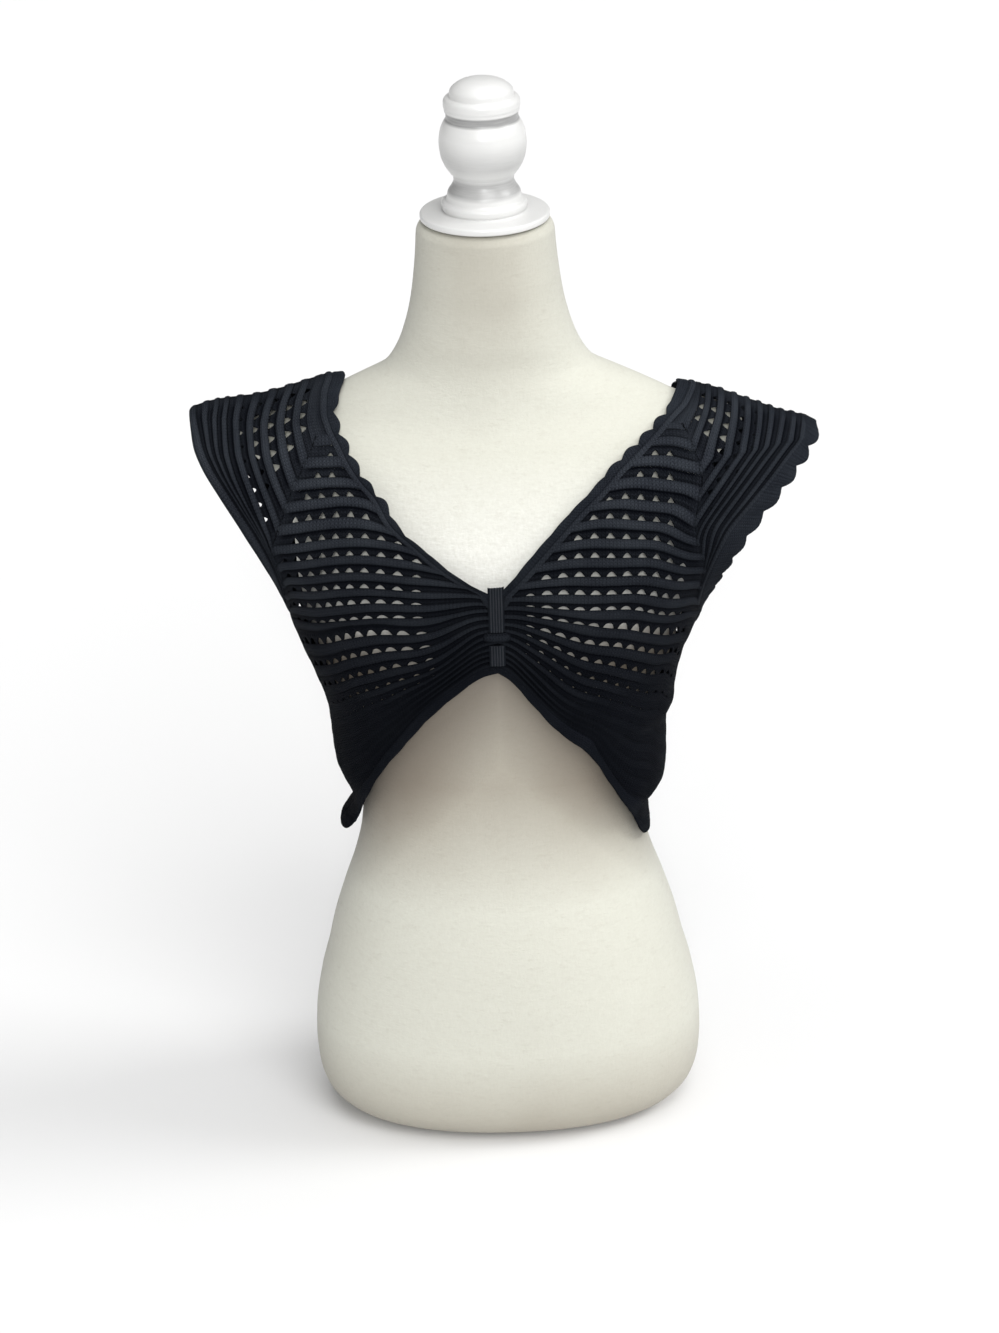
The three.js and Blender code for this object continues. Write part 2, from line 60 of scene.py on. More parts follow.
# ---- cloth surface, in millimetres: +Z up, front towards -Y, right = wearer's right = -X
cloth = {
    "planPower": 2.3,
    "shoulderPower": {"front": 1.6, "back": 1.65},
    "shoulderStart": {"front": 520, "back": 520},
    "armholeOpen": 0.6,
    "armholeRise": 90,
    "armholeEase": 1.8,
    "neckEase": 1.35,  # rows lie closer on the upper neckline
    "gatherDepth": 1.6,
    "gatherCount": 3,
    "gatherFrom": 0.6,  # v where the gathers start
    "gatherReach": 42,  # half width over which they fade
    "neckRow": 0.6,
    "armRow": 0.72,
    "halfSeam": 0.15,
    "underarm": {"right": 462, "left": 457},
    "edge": {  # height, half width of the armhole and side seam
        "right": [(267, 136), (271, 134), (275, 130.8), (280, 127), (286, 124.3), (293, 123.3), (300, 125),
                  (306, 128), (331, 138), (379, 142.5), (414, 153), (440, 163), (462, 170), (486, 174.5),
                  (510, 180), (534, 189), (558, 202.5), (582, 218), (606, 233.5), (618, 239), (630, 241.5),
                  (637, 243)],
        "left": [(257, 124), (269, 124), (279, 123.3), (288, 123.5), (294, 127), (300, 133), (308, 137),
                 (322, 139), (361, 139.5), (378, 146), (390, 147), (425, 155), (441, 162), (457, 168.5),
                 (481, 177), (505, 185.5), (529, 197), (553, 214), (577, 236.5), (589, 248), (601, 259.5),
                 (608, 267)],
    },
    "shoulder": {  # half width, height
        "right": [(0, 662), (113, 663.5), (129, 664), (148, 659.5), (171, 653), (190, 649), (219, 646),
                  (240, 640), (243, 637)],
        "left": [(0, 662), (120, 656), (147, 649.4), (162, 648), (177, 645), (193, 639), (208, 633),
                 (223, 627), (236, 622), (248, 619), (258, 614.5), (267, 608)],
    },
    "depth": {  # height, depth at the middle
        "front": [(250, 98), (270, 97), (310, 97), (345, 99), (385, 103), (430, 110), (448, 113),
                  (490, 120), (520, 122), (570, 122), (660, 120)],
        "back": [(250, 103), (270, 99), (310, 92), (345, 90), (385, 90), (430, 92), (448, 93),
                 (490, 97), (520, 100), (570, 104), (660, 104)],
    },
    "neck": {  # half width, height, from the shoulder to the middle
        ("front", "right"): [(116, 663.4), (120.5, 656), (121.5, 646), (118, 636), (112, 626), (105, 614),
                             (95, 601), (85, 591), (74, 572), (52, 553), (31, 536), (12, 524), (0, 518)],
        ("front", "left"): [(151, 648.9), (143, 641.5), (131, 634.5), (119, 626.5), (105, 617), (93, 608),
                            (77, 593), (61, 580), (44, 564), (28, 548), (10, 528), (0, 518)],
        ("back", "right"): [(116, 663.4), (120, 654), (117, 640), (105, 624), (82, 608), (52, 597),
                            (25, 592), (0, 590.5)],
        ("back", "left"): [(151, 648.9), (150, 640), (142, 626), (122, 611), (90, 599), (52, 592.5),
                           (22, 590.7), (0, 590.5)],
    },
    "hem": {  # half width, height, from the middle to the side seam
        ("front", "right"): [(0, 448), (11, 445), (25, 435), (55, 405.5), (77, 376), (99, 343), (109, 321),
                             (115.5, 300), (118, 289.5), (122, 281), (128, 273.5), (136, 267)],
        ("front", "left"): [(0, 448), (9, 441), (21, 424.5), (45, 391), (73, 361), (90, 329), (105.5, 297),
                            (112, 277), (117.3, 264.5), (124, 257)],
        ("back", "right"): [(0, 262), (45, 262), (85, 264), (112, 265.5), (136, 267)],
        ("back", "left"): [(0, 262), (45, 261), (90, 258), (124, 257)],
    },
}
sideSign = {"right": -1.0, "left": 1.0}
frontSign = {"front": -1.0, "back": 1.0}


def mix(a, b, t):
    return a + (b - a) * t


# smooth curve: between neighbouring entries a cubic whose end slopes are the harmonic mean of the slopes
# before and after
def smoothCurve(xs, ys):
    xs = np.asarray(xs, float)
    ys = np.asarray(ys, float)
    width = np.diff(xs)
    slope = np.diff(ys) / width
    before, after = slope[:-1], slope[1:]
    same = before * after > 0
    inner = np.where(same, 2 * before * after / np.where(same, before + after, 1), 0)
    tangent = np.concatenate([slope[:1], inner, slope[-1:]])

    def at(x):
        x = np.clip(x, xs[0], xs[-1])
        i = np.clip(np.searchsorted(xs, x, side="right") - 1, 0, len(xs) - 2)
        t = (x - xs[i]) / width[i]
        rise = ys[i + 1] - ys[i]
        start = width[i] * tangent[i]
        end = width[i] * tangent[i + 1]
        return ys[i] + t * (start + t * (3 * rise - 2 * start - end + t * (start + end - 2 * rise)))

    return at


# curve through half width and height, counted 0 to 1 by the length run so far
def smoothPath(rows):
    rows = np.array(rows, float)
    run = np.concatenate([[0], np.cumsum(np.hypot(*np.diff(rows, axis=0).T))])
    share = run / run[-1]
    x = smoothCurve(share, rows[:, 0])
    z = smoothCurve(share, rows[:, 1])
    return lambda s: (x(s), z(s))


def smoothCurves(tables):
    return {key: smoothCurve(*zip(*rows)) for key, rows in tables.items()}


edgeAt = smoothCurves(cloth["edge"])
shoulderAt = smoothCurves(cloth["shoulder"])
depthAt = smoothCurves(cloth["depth"])
neckPath = {key: smoothPath(rows) for key, rows in cloth["neck"].items()}
hemPath = {key: smoothPath(rows) for key, rows in cloth["hem"].items()}


# half width of the whole plan curve: the edge divided by what the armhole cuts off
def planHalf(side, z):
    rise = np.clip((z - cloth["underarm"][side]) / cloth["armholeRise"], 0, 1)
    opened = cloth["armholeOpen"] * (1 - (1 - rise) ** cloth["armholeEase"])
    return edgeAt[side](z) / (1 - opened ** cloth["planPower"]) ** (1 / cloth["planPower"])


# turn about the plan curve: arc sine of the width share to half the plan power
def turnOf(side, x, z):
    return np.arcsin(np.clip(x / planHalf(side, z), 0, 1) ** (cloth["planPower"] / 2))


def innerLine(face, side, v):
    s = np.clip(v / cloth["neckRow"], 0, 1) ** cloth["neckEase"]
    x, z = neckPath[face, side](s)
    foot = neckPath[face, side](1.0)[1]
    hem = hemPath[face, side](0.0)[1]
    below = mix(foot, hem, (v - cloth["neckRow"]) / (1 - cloth["neckRow"]))
    return np.where(v <= cloth["neckRow"], x, 0), np.where(v <= cloth["neckRow"], z, below)


def outerLine(face, side, v):
    s = np.clip(v / cloth["armRow"], 0, 1)
    eased = 0.5 * s + 0.25 * (1 - np.cos(np.pi * s))
    tip = cloth["edge"][side][-1][0]
    under = cloth["underarm"][side]
    corner = hemPath[face, side](1.0)[1]
    z = np.where(v <= cloth["armRow"], mix(tip, under, eased),
                 mix(under, corner, (v - cloth["armRow"]) / (1 - cloth["armRow"])))
    return edgeAt[side](z), z


# half of the front or back: u from neck edge to armhole edge, v from shoulder to hem.
# turn and height are blended from the four edges, then
# x = plan half width * sin(turn)^(2/p), y = depth * cos(turn)^(2/p) * closing over the shoulder - gathers
def clothPoint(face, side, u, v):
    u, v = np.broadcast_arrays(np.asarray(u, float), np.asarray(v, float))
    power = cloth["planPower"]

    def laid(x, z):
        return np.array([turnOf(side, x, z), z])

    one = np.ones_like(u)
    inner = laid(*innerLine(face, side, v))
    outer = laid(*outerLine(face, side, v))
    neckX, neckZ = innerLine(face, side, 0.0 * one)
    tipZ, tipX = cloth["edge"][side][-1]
    topX = mix(neckX, tipX, u)
    top = laid(topX, shoulderAt[side](topX))
    topStart = laid(neckX, neckZ)
    topEnd = laid(tipX * one, tipZ * one)
    hem = laid(*hemPath[face, side](u))
    hemStart = laid(*hemPath[face, side](0.0 * one))
    hemEnd = laid(*hemPath[face, side](one))
    turn, z = (mix(inner, outer, u) + (1 - v) * (top - mix(topStart, topEnd, u))
               + v * (hem - mix(hemStart, hemEnd, u)))
    turn = np.clip(turn, 0, np.pi / 2)
    x = planHalf(side, z) * np.sin(turn) ** (2 / power)
    start = cloth["shoulderStart"][face]
    up = np.clip((z - start) / (shoulderAt[side](x) - start), 0, 1)
    closing = (1 - up ** cloth["shoulderPower"][face]) ** (1 / cloth["shoulderPower"][face])
    y = depthAt[face](z) * np.maximum(np.cos(turn), 0) ** (2 / power) * closing
    if face == "front":
        run = (v - cloth["gatherFrom"]) / (1 - cloth["gatherFrom"])
        wave = 0.5 - 0.5 * np.cos(2 * np.pi * cloth["gatherCount"] * run)
        y = y - np.where(run > 0, cloth["gatherDepth"] * wave * np.exp(-(x / cloth["gatherReach"]) ** 2), 0)
    y = np.maximum(y, 0)
    return np.stack([sideSign[side] * x, frontSign[face] * (y + cloth["halfSeam"]), z], -1)


# ---- rib layout: ribs run down the strap, turn at a mitre and run in to the middle
# rib number r counts eyelet rows from the neck; u and v are the cloth's own coordinates
ribs = {
    "stations": (0, 0.2, 0.45, 0.7, 1),  # u of the columns below
    "rowHeight": {  # rib number, v of the eyelet row at each station
        "right": [(0, 0.16, 0.145, 0.135, 0.13, 0.13), (1, 0.215, 0.198, 0.183, 0.178, 0.178),
                  (4, 0.405, 0.354, 0.327, 0.322, 0.326), (8, 0.6, 0.571, 0.524, 0.515, 0.528),
                  (9, 0.632, 0.63, 0.583, 0.583, 0.6), (10, 0.66, 0.7, 0.67, 0.684, 0.7),
                  (11, 0.691, 0.752, 0.737, 0.743, 0.75), (12, 0.726, 0.795, 0.779, 0.779, 0.785),
                  (14, 0.789, 0.868, 0.856, 0.84, 0.845), (17, 0.883, 0.925, 0.925, 0.91, 0.905),
                  (20, 0.972, 0.974, 0.974, 0.974, 0.972), (21, 1, 1, 1, 1, 1)],
        "left": [(0, 0.14, 0.12, 0.11, 0.1, 0.1), (1, 0.185, 0.16, 0.15, 0.14, 0.14),
                 (4, 0.375, 0.328, 0.301, 0.297, 0.3), (8, 0.565, 0.53, 0.503, 0.483, 0.48),
                 (9, 0.603, 0.575, 0.559, 0.548, 0.555), (10, 0.645, 0.634, 0.62, 0.631, 0.64),
                 (11, 0.685, 0.695, 0.722, 0.728, 0.735), (12, 0.722, 0.745, 0.763, 0.76, 0.765),
                 (14, 0.787, 0.818, 0.84, 0.823, 0.82), (17, 0.88, 0.918, 0.928, 0.9, 0.89),
                 (20, 0.972, 0.974, 0.974, 0.974, 0.972), (21, 1, 1, 1, 1, 1)],
    },
    "backFirst": 625,  # height of the first row of the back
    "backPitch": 15.6,
    "mitre": {  # rib number, u of the mitre corner
        "right": [(0, 0.18), (1, 0.302), (2, 0.444), (3, 0.603), (4, 0.745), (5, 0.84), (6, 0.906),
                  (7, 0.945), (8, 0.975), (9.7, 1)],
        "left": [(0, 0.16), (1, 0.277), (2, 0.389), (3, 0.52), (4, 0.638), (5, 0.745), (6, 0.8),
                 (7, 0.835), (8, 0.86), (9.7, 0.9)],
    },
    "shoulder": {  # rib number, u where the rib meets the shoulder
        "right": [(0, 0.13), (1, 0.212), (4, 0.522), (6, 0.725), (8, 0.86), (9.7, 1)],
        "left": [(0, 0.12), (1, 0.18), (4, 0.45), (6, 0.62), (8, 0.778), (9.7, 0.9)],
    },
    "lastTurned": 9,  # ribs past this one run straight to the side
    "turnedEnd": 9.7,  # rib number where the last turned rib ends
    "longest": 330.0,  # length of the tables along a rib
    "count": {"front": 20, "back": 23},
    "wales": {  # eyelet number, distance from the middle
        "right": [(0, 0), (5, 79), (6, 93), (7, 106), (8, 118.5), (9, 130), (13, 176), (24, 310)],
        "left": [(0, 0), (1, 14), (8, 106), (9, 118.5), (12, 155), (24, 305)],
    },
    "columnPitch": 12.6,
}
rowV = {side: [smoothCurve([row[0] for row in rows], [row[1 + i] for row in rows]) for i in range(5)]
        for side, rows in ribs["rowHeight"].items()}
mitreAt, ribTop, waleAt = (smoothCurves(ribs[name]) for name in ("mitre", "shoulder", "wales"))
fineU = np.linspace(0, 1, 161)
fineV = np.linspace(0, 1, 401)


# v of a row line on the front: for each u a curve through the five stations, straight in r between
def frontRow(side, r, u):
    stations = np.array([at(r) for at in rowV[side]])  # 5 x n
    marks = np.array(ribs["stations"])
    i = np.clip(np.searchsorted(marks, u, side="right") - 1, 0, 3)
    width = np.diff(marks)[:, None]
    slope = np.diff(stations, axis=0) / width
    tangent = np.concatenate([slope[:1], 0.5 * (slope[:-1] + slope[1:]), slope[-1:]])
    cols = np.arange(stations.shape[1])
    t = (u - marks[i]) / width[i, 0]
    a, b = stations[i, cols], stations[i + 1, cols]
    start, end = width[i, 0] * tangent[i, cols], width[i, 0] * tangent[i + 1, cols]
    return a + t * (start + t * (3 * (b - a) - 2 * start - end + t * (start + end - 2 * (b - a))))


# v of a level row on the back: where the cloth at this u reaches the row's height
def backRow(side, r, u):
    if side not in backRow.heights:
        grid = clothPoint("back", side, fineU[:, None], fineV[None, :])[..., 2]
        backRow.heights[side] = np.minimum.accumulate(grid, axis=1)
    grid = backRow.heights[side]
    goal = ribs["backFirst"] - ribs["backPitch"] * (r - 1)
    at = np.clip(u, 0, 1) * (len(fineU) - 1)
    i = np.minimum(at.astype(int), len(fineU) - 2)
    found = np.empty_like(goal)
    for column in np.unique(i):
        here = i == column
        low = np.interp(-goal[here], -grid[column], fineV)
        high = np.interp(-goal[here], -grid[column + 1], fineV)
        found[here] = mix(low, high, (at - i)[here])
    return found


backRow.heights = {}


def rowLine(face, side, r, u):
    r, u = np.broadcast_arrays(np.asarray(r, float), np.asarray(u, float))
    line = frontRow if face == "front" else backRow
    return line(side, r.ravel(), u.ravel()).reshape(r.shape)


# ---- shader maths written as Python expressions
class Value:
    def __init__(self, look, socket):
        self.look = look
        self.socket = socket

    def maths(self, operation, *inputs):
        return self.look.node("ShaderNodeMath", {"operation": operation}, dict(enumerate(inputs)))

    def __add__(self, other):
        return self.maths("ADD", self, other)

    def __sub__(self, other):
        return self.maths("SUBTRACT", self, other)

    def __rsub__(self, other):
        return self.maths("SUBTRACT", other, self)

    def __mul__(self, other):
        return self.maths("MULTIPLY", self, other)

    def __truediv__(self, other):
        return self.maths("DIVIDE", self, other)

    def __abs__(self):
        return self.maths("ABSOLUTE", self)

    def sine(self):
        return self.maths("SINE", self)

    def fraction(self):
        return self.maths("FRACT", self)

    # 0 at low, 1 at high and straight between them
    def between(self, low, high):
        values = {"Value": self, "From Min": low, "From Max": high}
        return self.look.node("ShaderNodeMapRange", {"clamp": True}, values)


class Look:
    def __init__(self, name, **sockets):
        self.material = bpy.data.materials.new(name)
        self.material.use_nodes = True
        self.tree = self.material.node_tree
        self.shader = next(n for n in self.tree.nodes if n.type == "BSDF_PRINCIPLED")
        self.set(self.shader, sockets)

    def set(self, node, values):
        for name, value in values.items():
            socket = node.inputs[name]
            if isinstance(value, Value):
                self.tree.links.new(value.socket, socket)
            else:
                socket.default_value = value

    def node(self, kind, settings, values, out=0):
        made = self.tree.nodes.new(kind)
        for name, value in settings.items():
            setattr(made, name, value)
        self.set(made, values)
        return Value(self, made.outputs[out])

    # inputs 6 and 7 and output 2 of the node are its colours
    def blend(self, factor, first, second):
        first, second = ((*colour, 1) if isinstance(colour, tuple) else colour for colour in (first, second))
        values = {0: factor, 6: first, 7: second}
        return self.node("ShaderNodeMix", {"data_type": "RGBA"}, values, 2)

    def place(self):
        return self.node("ShaderNodeTexCoord", {}, {}, "Object")

    def stretched(self, *scale):
        return self.node("ShaderNodeMapping", {}, {"Vector": self.place(), "Scale": scale})

    def noise(self, scale, detail=3.0, roughness=0.55, vector=None):
        values = {"Vector": vector or self.place(), "Scale": scale, "Detail": detail, "Roughness": roughness}
        return self.node("ShaderNodeTexNoise", {}, values)

    def split(self, vector, part):
        return self.node("ShaderNodeSeparateXYZ", {}, {"Vector": vector}, part)

    def bump(self, height, distance, strength):
        values = {"Height": height, "Distance": distance, "Strength": strength}
        self.set(self.shader, {"Normal": self.node("ShaderNodeBump", {}, values)})

    # the piece's own pattern map, in millimetres
    def pattern(self):
        place = self.node("ShaderNodeUVMap", {"uv_map": "pattern"}, {})
        return self.split(place, 0) * 1000, self.split(place, 1) * 1000

    def relief(self):
        return self.node("ShaderNodeAttribute", {"attribute_name": "relief"}, {}, "Fac")


# knitted stitches on the piece's pattern map: leg = |fract(x / wale) - 1/2|,
# loop = sin(2 pi (y / course + 1.1 leg)), and a groove between neighbouring wales
def stitches(x, y, wale, course):
    leg = abs((x / wale).fraction() - 0.5)
    loop = ((y / course + leg * 1.1) * (2 * math.pi)).sine() * 0.5 + 0.5
    groove = (leg * 2).between(0.0, 0.35)
    return loop * 0.6 + groove * 0.4


yarn = {
    # deep is painted shade for the grooves and raised a painted highlight for the ribs; the third colour is
    # paler yarn for patches and fuzz
    "knit": {
        "deep": (0.0006, 0.0009, 0.0024), "raised": (0.0300, 0.0345, 0.0440), "worn": (0.055, 0.063, 0.075),
        "wale": 3.0, "course": 2.4, "relief": (-0.9, 0.9), "fall": 0.78,
    },
    "edging": {
        "deep": (0.0010, 0.0014, 0.0032), "raised": (0.0220, 0.0260, 0.0340), "worn": (0.045, 0.052, 0.064),
        "wale": 2.6, "course": 2.0, "relief": (-1.4, 1.6), "fall": 0.78,
    },
    "tabKnit": {
        "deep": (0.006, 0.0075, 0.011), "raised": (0.048, 0.053, 0.062), "worn": (0.065, 0.072, 0.084),
        "wale": 1.6, "course": 1.1, "relief": (-0.5, 0.4), "fall": 0.0,
    },
    "fallFrom": (0.44, 0.62),  # heights in metres: the yarn is darker by its fall below them, painted shade on the lower part
    "bump": 0.0022,
    "roughness": 0.92,
    "sheen": 0.015,
}


# painted shade and highlight by the relief: deep in the grooves and raised on the ribs; paler in random worn
# patches and fuzz, mostly on the ribs as painted highlight; and painted shade low down
def yarnLook(name):
    kind = yarn[name]
    look = Look(name, **{"Sheen Weight": yarn["sheen"], "Sheen Roughness": 0.5, "Specular IOR Level": 0.03,
                         "Sheen Tint": (0.5, 0.62, 0.85, 1)})
    x, y = look.pattern()
    patches = look.noise(22.0, 4.0)
    fuzz = look.noise(900.0, 2.0, 0.7)
    wander = look.noise(120.0, 2.0) - 0.5
    knit = stitches(x + wander * 0.5, y + wander * 0.4, kind["wale"], kind["course"])
    height = look.relief().between(*kind["relief"])
    # painted shade and highlight: the relief blends the deep colour in the grooves to the raised one on the
    # ribs
    base = look.blend(height * (knit * 0.9 + 0.4), kind["deep"], kind["raised"])
    # paler worn patches and fuzz, kept mostly to the ribs as painted highlight
    base = look.blend(patches.between(0.42, 0.7) * height * 0.55, base, kind["worn"])
    base = look.blend(fuzz.between(0.45, 0.8) * (height * 0.5 + 0.04), base, kind["worn"])
    # painted shade: darker low down, towards the deep colour
    level = look.split(look.place(), 2)
    base = look.blend((1 - level.between(*yarn["fallFrom"])) * kind["fall"], base, kind["deep"])
    look.set(look.shader, {"Base Color": base, "Roughness": knit * -0.12 + yarn["roughness"]})
    look.bump(knit + fuzz * 0.45, yarn["bump"], 0.9)
    return look.material


coverCloth = {
    "light": (0.60, 0.60, 0.53),
    "litUnderTop": (0.88, 0.88, 0.85),  # painted light: paler where the top covers the form, so it looks lit through the eyelets
    "slub": (0.52, 0.51, 0.445),
    "shade": (0.25, 0.205, 0.155),
    "rub": (0.13, 0.11, 0.088),  # painted shadow that the hem casts on the cover
    "bump": 0.0007,
}


# jersey cover: fine crossed threads from stretched noise, with paler slubs and soft random stains; painted
# shade at the waist under the top and at the middle of the neck, a painted shadow below the hem, painted
# light where the top covers it, and darker towards the foot
def coverLook():
    look = Look("cover", **{"Sheen Weight": 0.12, "Sheen Roughness": 0.6, "Specular IOR Level": 0.2})
    level = look.stretched(0.6, 0.6, 1.6)
    weft = look.noise(330.0, 3.0, 0.65, level)
    warp = look.noise(330.0, 3.0, 0.65, look.stretched(1.6, 1.6, 0.6))
    slub = look.noise(150.0, 4.0, 0.7, level)
    cloud = look.noise(7.0, 3.0)
    height = look.split(look.place(), 2)
    across = abs(look.split(look.place(), 0))
    # painted shade, partly grime: the waist below the top is darker, more so at the sides
    worn = height.between(0.22, 0.33) * height.between(0.5, 0.44)
    worn = worn * (across.between(0.02, 0.11) * 0.35 + 0.65)
    belowHem = height + across * 1.08
    # painted shadow: a dark band following the hem just below it
    hemShadowMask = belowHem.between(0.35, 0.445) * belowHem.between(0.5, 0.465)
    # darker towards the foot of the form
    foot = height.between(0.09, 0.01)
    # painted light: the cover is paler under the top
    covered = height.between(0.42, 0.46) * height.between(0.62, 0.5)
    thread = weft * 0.55 + warp * 0.45
    base = look.blend(covered * 0.95, coverCloth["light"], coverCloth["litUnderTop"])
    base = look.blend(thread.between(0.35, 0.65) * 0.4, base, coverCloth["slub"])
    base = look.blend(slub.between(0.55, 0.8) * 0.16, base, coverCloth["shade"])
    # painted shade: the middle of the neck is darker
    collar = height.between(0.66, 0.74) * across.between(0.07, 0.02)
    # painted shade at the waist and the middle of the neck, darker towards the foot, and soft random stains
    soilAndShade = (worn * 0.95 + foot * 0.55 + collar * 0.3) * (cloud * 0.3 + 0.85) + cloud.between(0.5, 0.8) * 0.1
    base = look.blend(soilAndShade, base, coverCloth["shade"])
    base = look.blend(hemShadowMask * 0.8, base, coverCloth["rub"])
    look.set(look.shader, {"Base Color": base, "Roughness": thread * 0.1 + 0.86})
    look.bump(thread + slub * 0.8, coverCloth["bump"], 0.7)
    return look.material


# white paint over turned wood: faint turning lines along the height, a soft brushed unevenness, and painted
# shade in the groove under the ring, in the cove below the ball and on the ball's underside
def paintLook():
    look = Look("paintedWood", **{"Coat Roughness": 0.25, "Specular IOR Level": 0.5})
    turned = look.noise(160.0, 3.0, 0.5, look.stretched(0.4, 0.4, 6.0))
    cloud = look.noise(30.0, 3.0)
    height = look.split(look.place(), 2) * 1000
    groove = height.between(873, 875) * height.between(882, 880)
    cove = height.between(813, 817) * height.between(830, 826)
    belly = height.between(833, 840) * height.between(862, 846)
    # painted shade: darker grey in the groove, the cove and under the ball
    paintedShade = groove * 0.8 + cove * 0.6 + belly * 0.35
    base = look.blend(cloud.between(0.4, 0.8) * 0.3, (0.70, 0.70, 0.69), (0.62, 0.62, 0.60))
    base = look.blend(paintedShade * (turned * 0.5 + 0.7), base, (0.20, 0.20, 0.20))
    roughness = cloud * 0.12 + 0.3
    look.set(look.shader, {"Base Color": base, "Roughness": roughness, "Coat Weight": cloud * 0.2 + 0.1})
    look.bump(turned * 0.6 + cloud * 0.4, 0.0003, 0.4)
    return look.material


looks = {
    "knit": yarnLook("knit"),
    "edging": yarnLook("edging"),
    "tab_knit": yarnLook("tabKnit"),
    "cover": coverLook(),
    "painted_wood": paintLook(),
}
print("materials made")


# ---- surfaces into meshes
# one patch from a grid of points, with their outward normals, the pair of pattern coordinates and the relief.
# The quads between neighbours are cut in two, a row of them may be left open, and a patch that looks inward
# is reversed
def makePatch(points, normals, pattern, relief, leftOpen=None):
    shape = points.shape[:2]
    index = np.arange(shape[0] * shape[1]).reshape(shape)
    quads = np.stack([index[:-1, :-1], index[1:, :-1], index[1:, 1:], index[:-1, 1:]], -1)
    if leftOpen is not None:
        quads = np.delete(quads, leftOpen, axis=0)
    quads = quads.reshape(-1, 4)
    triangles = np.concatenate([quads[:, [0, 1, 2]], quads[:, [0, 2, 3]]])
    normals = np.broadcast_to(normals, points.shape).reshape(-1, 3)
    points = points.reshape(-1, 3)
    corners = points[triangles]
    faceNormal = np.cross(corners[:, 1] - corners[:, 0], corners[:, 2] - corners[:, 0])
    if np.sum(faceNormal * normals[triangles[:, 0]]) < 0:
        triangles = triangles[:, ::-1]
    pattern = np.stack(np.broadcast_arrays(*pattern), -1).reshape(-1, 2)
    relief = np.broadcast_to(relief, shape).reshape(-1)
    return {"points": points, "pattern": pattern, "relief": relief, "faces": triangles}


# patches joined into one piece for the node of the same name, frontRight for front_right: points closer than
# a hundredth of a millimetre are merged, slivers are dropped, and cloth gets its wall inwards
def makePiece(name, patches, slot, wall=0.0):
    starts = np.cumsum([0] + [len(patch["points"]) for patch in patches[:-1]])
    points, pattern, relief = (np.concatenate([patch[key] for patch in patches])
                               for key in ("points", "pattern", "relief"))
    faces = np.concatenate([patch["faces"] + start for patch, start in zip(patches, starts)])
    rounded = np.round(points * 100).astype(np.int64)
    _, kept, place = np.unique(rounded, axis=0, return_index=True, return_inverse=True)
    place = place.ravel()
    welded = place[faces]
    whole = (welded[:, 0] != welded[:, 1]) & (welded[:, 1] != welded[:, 2]) & (welded[:, 2] != welded[:, 0])
    corners = points[kept][welded]
    size = np.linalg.norm(np.cross(corners[:, 1] - corners[:, 0], corners[:, 2] - corners[:, 0]), axis=1)
    whole &= size > 1e-3
    faces, welded = faces[whole], welded[whole]
    mesh = bpy.data.meshes.new(name)
    mesh.from_pydata((points[kept] / 1000).tolist(), [], welded.tolist())
    layer = mesh.uv_layers.new(name="pattern")
    layer.uv.foreach_set("vector", (pattern[faces.ravel()] / 1000).astype(np.float32).ravel())
    heights = mesh.attributes.new("relief", "FLOAT", "POINT")
    heights.data.foreach_set("value", relief[kept].astype(np.float32))
    mesh.polygons.foreach_set("use_smooth", np.ones(len(mesh.polygons), bool))
    mesh.materials.append(looks[slot])
    mesh.update()
    piece = bpy.data.objects.new(name, mesh)
    scene.collection.objects.link(piece)
    if wall:
        solid = piece.modifiers.new("wall", "SOLIDIFY")
        solid.thickness = wall / 1000
        solid.offset = -1
    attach(piece, "root")
    node = "".join("_" + letter.lower() if letter.isupper() else letter for letter in name)
    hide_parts(node)
    print(name, len(faces), "triangles")
    return piece


# outward normal of the cloth: cross product of small steps along u and v, level across the seam plane
def clothNormal(face, side, u, v):
    u, v = np.broadcast_arrays(np.asarray(u, float), np.asarray(v, float))
    step = 0.002
    before, after = (clothPoint(face, side, np.clip(u + move, 0, 1), v) for move in (-step, step))
    above, below = (clothPoint(face, side, u, np.clip(v + move, 0, 1)) for move in (-step, step))
    normal = np.cross(after - before, below - above)
    point = clothPoint(face, side, u, v)
    facing = 0.4 * point[..., 0] * normal[..., 0] + point[..., 1] * normal[..., 1] + 40 * normal[..., 2]
    normal = normal * np.where(facing < 0, -1, 1)[..., None]
    onSeam = np.abs(point[..., 1]) < cloth["halfSeam"] + 0.01
    onMiddle = np.abs(point[..., 0]) < 0.01
    normal[..., 1] = np.where(onSeam, 0, normal[..., 1])
    normal[..., 0] = np.where(onMiddle, 0, normal[..., 0])
    return normal / np.maximum(np.linalg.norm(normal, axis=-1, keepdims=True), 1e-9)


# patch of the cloth at u and v, moved out along its normals by the lift
def clothPatch(face, side, u, v, lift, pattern, leftOpen=None):
    normals = clothNormal(face, side, u, v)
    lift = np.broadcast_to(lift, u.shape)
    # the lift is also kept as the relief, which sets the yarn's painted shade and highlight
    points = clothPoint(face, side, u, v) + normals * lift[..., None]
    return makePatch(points, normals, pattern, lift, leftOpen)


def rowLengths(face, side):
    points = clothPoint(face, side, np.linspace(0, 1, 13)[:, None], fineV[None, :])
    return np.linalg.norm(np.diff(points, axis=0), axis=-1).sum(axis=0)


rowLengthTable = {(face, side): rowLengths(face, side) for face in frontSign for side in sideSign}


def rowLength(face, side, v):
    return np.interp(v, fineV, rowLengthTable[face, side])


# share of a row taken by an edging of some width, closing to nothing where its band turns the corner
def edgingShare(face, side, v, end, width):
    s = np.clip(v / end, 0, 1)
    return width / rowLength(face, side, v) * np.sqrt(np.maximum(1 - s ** 4, 0))


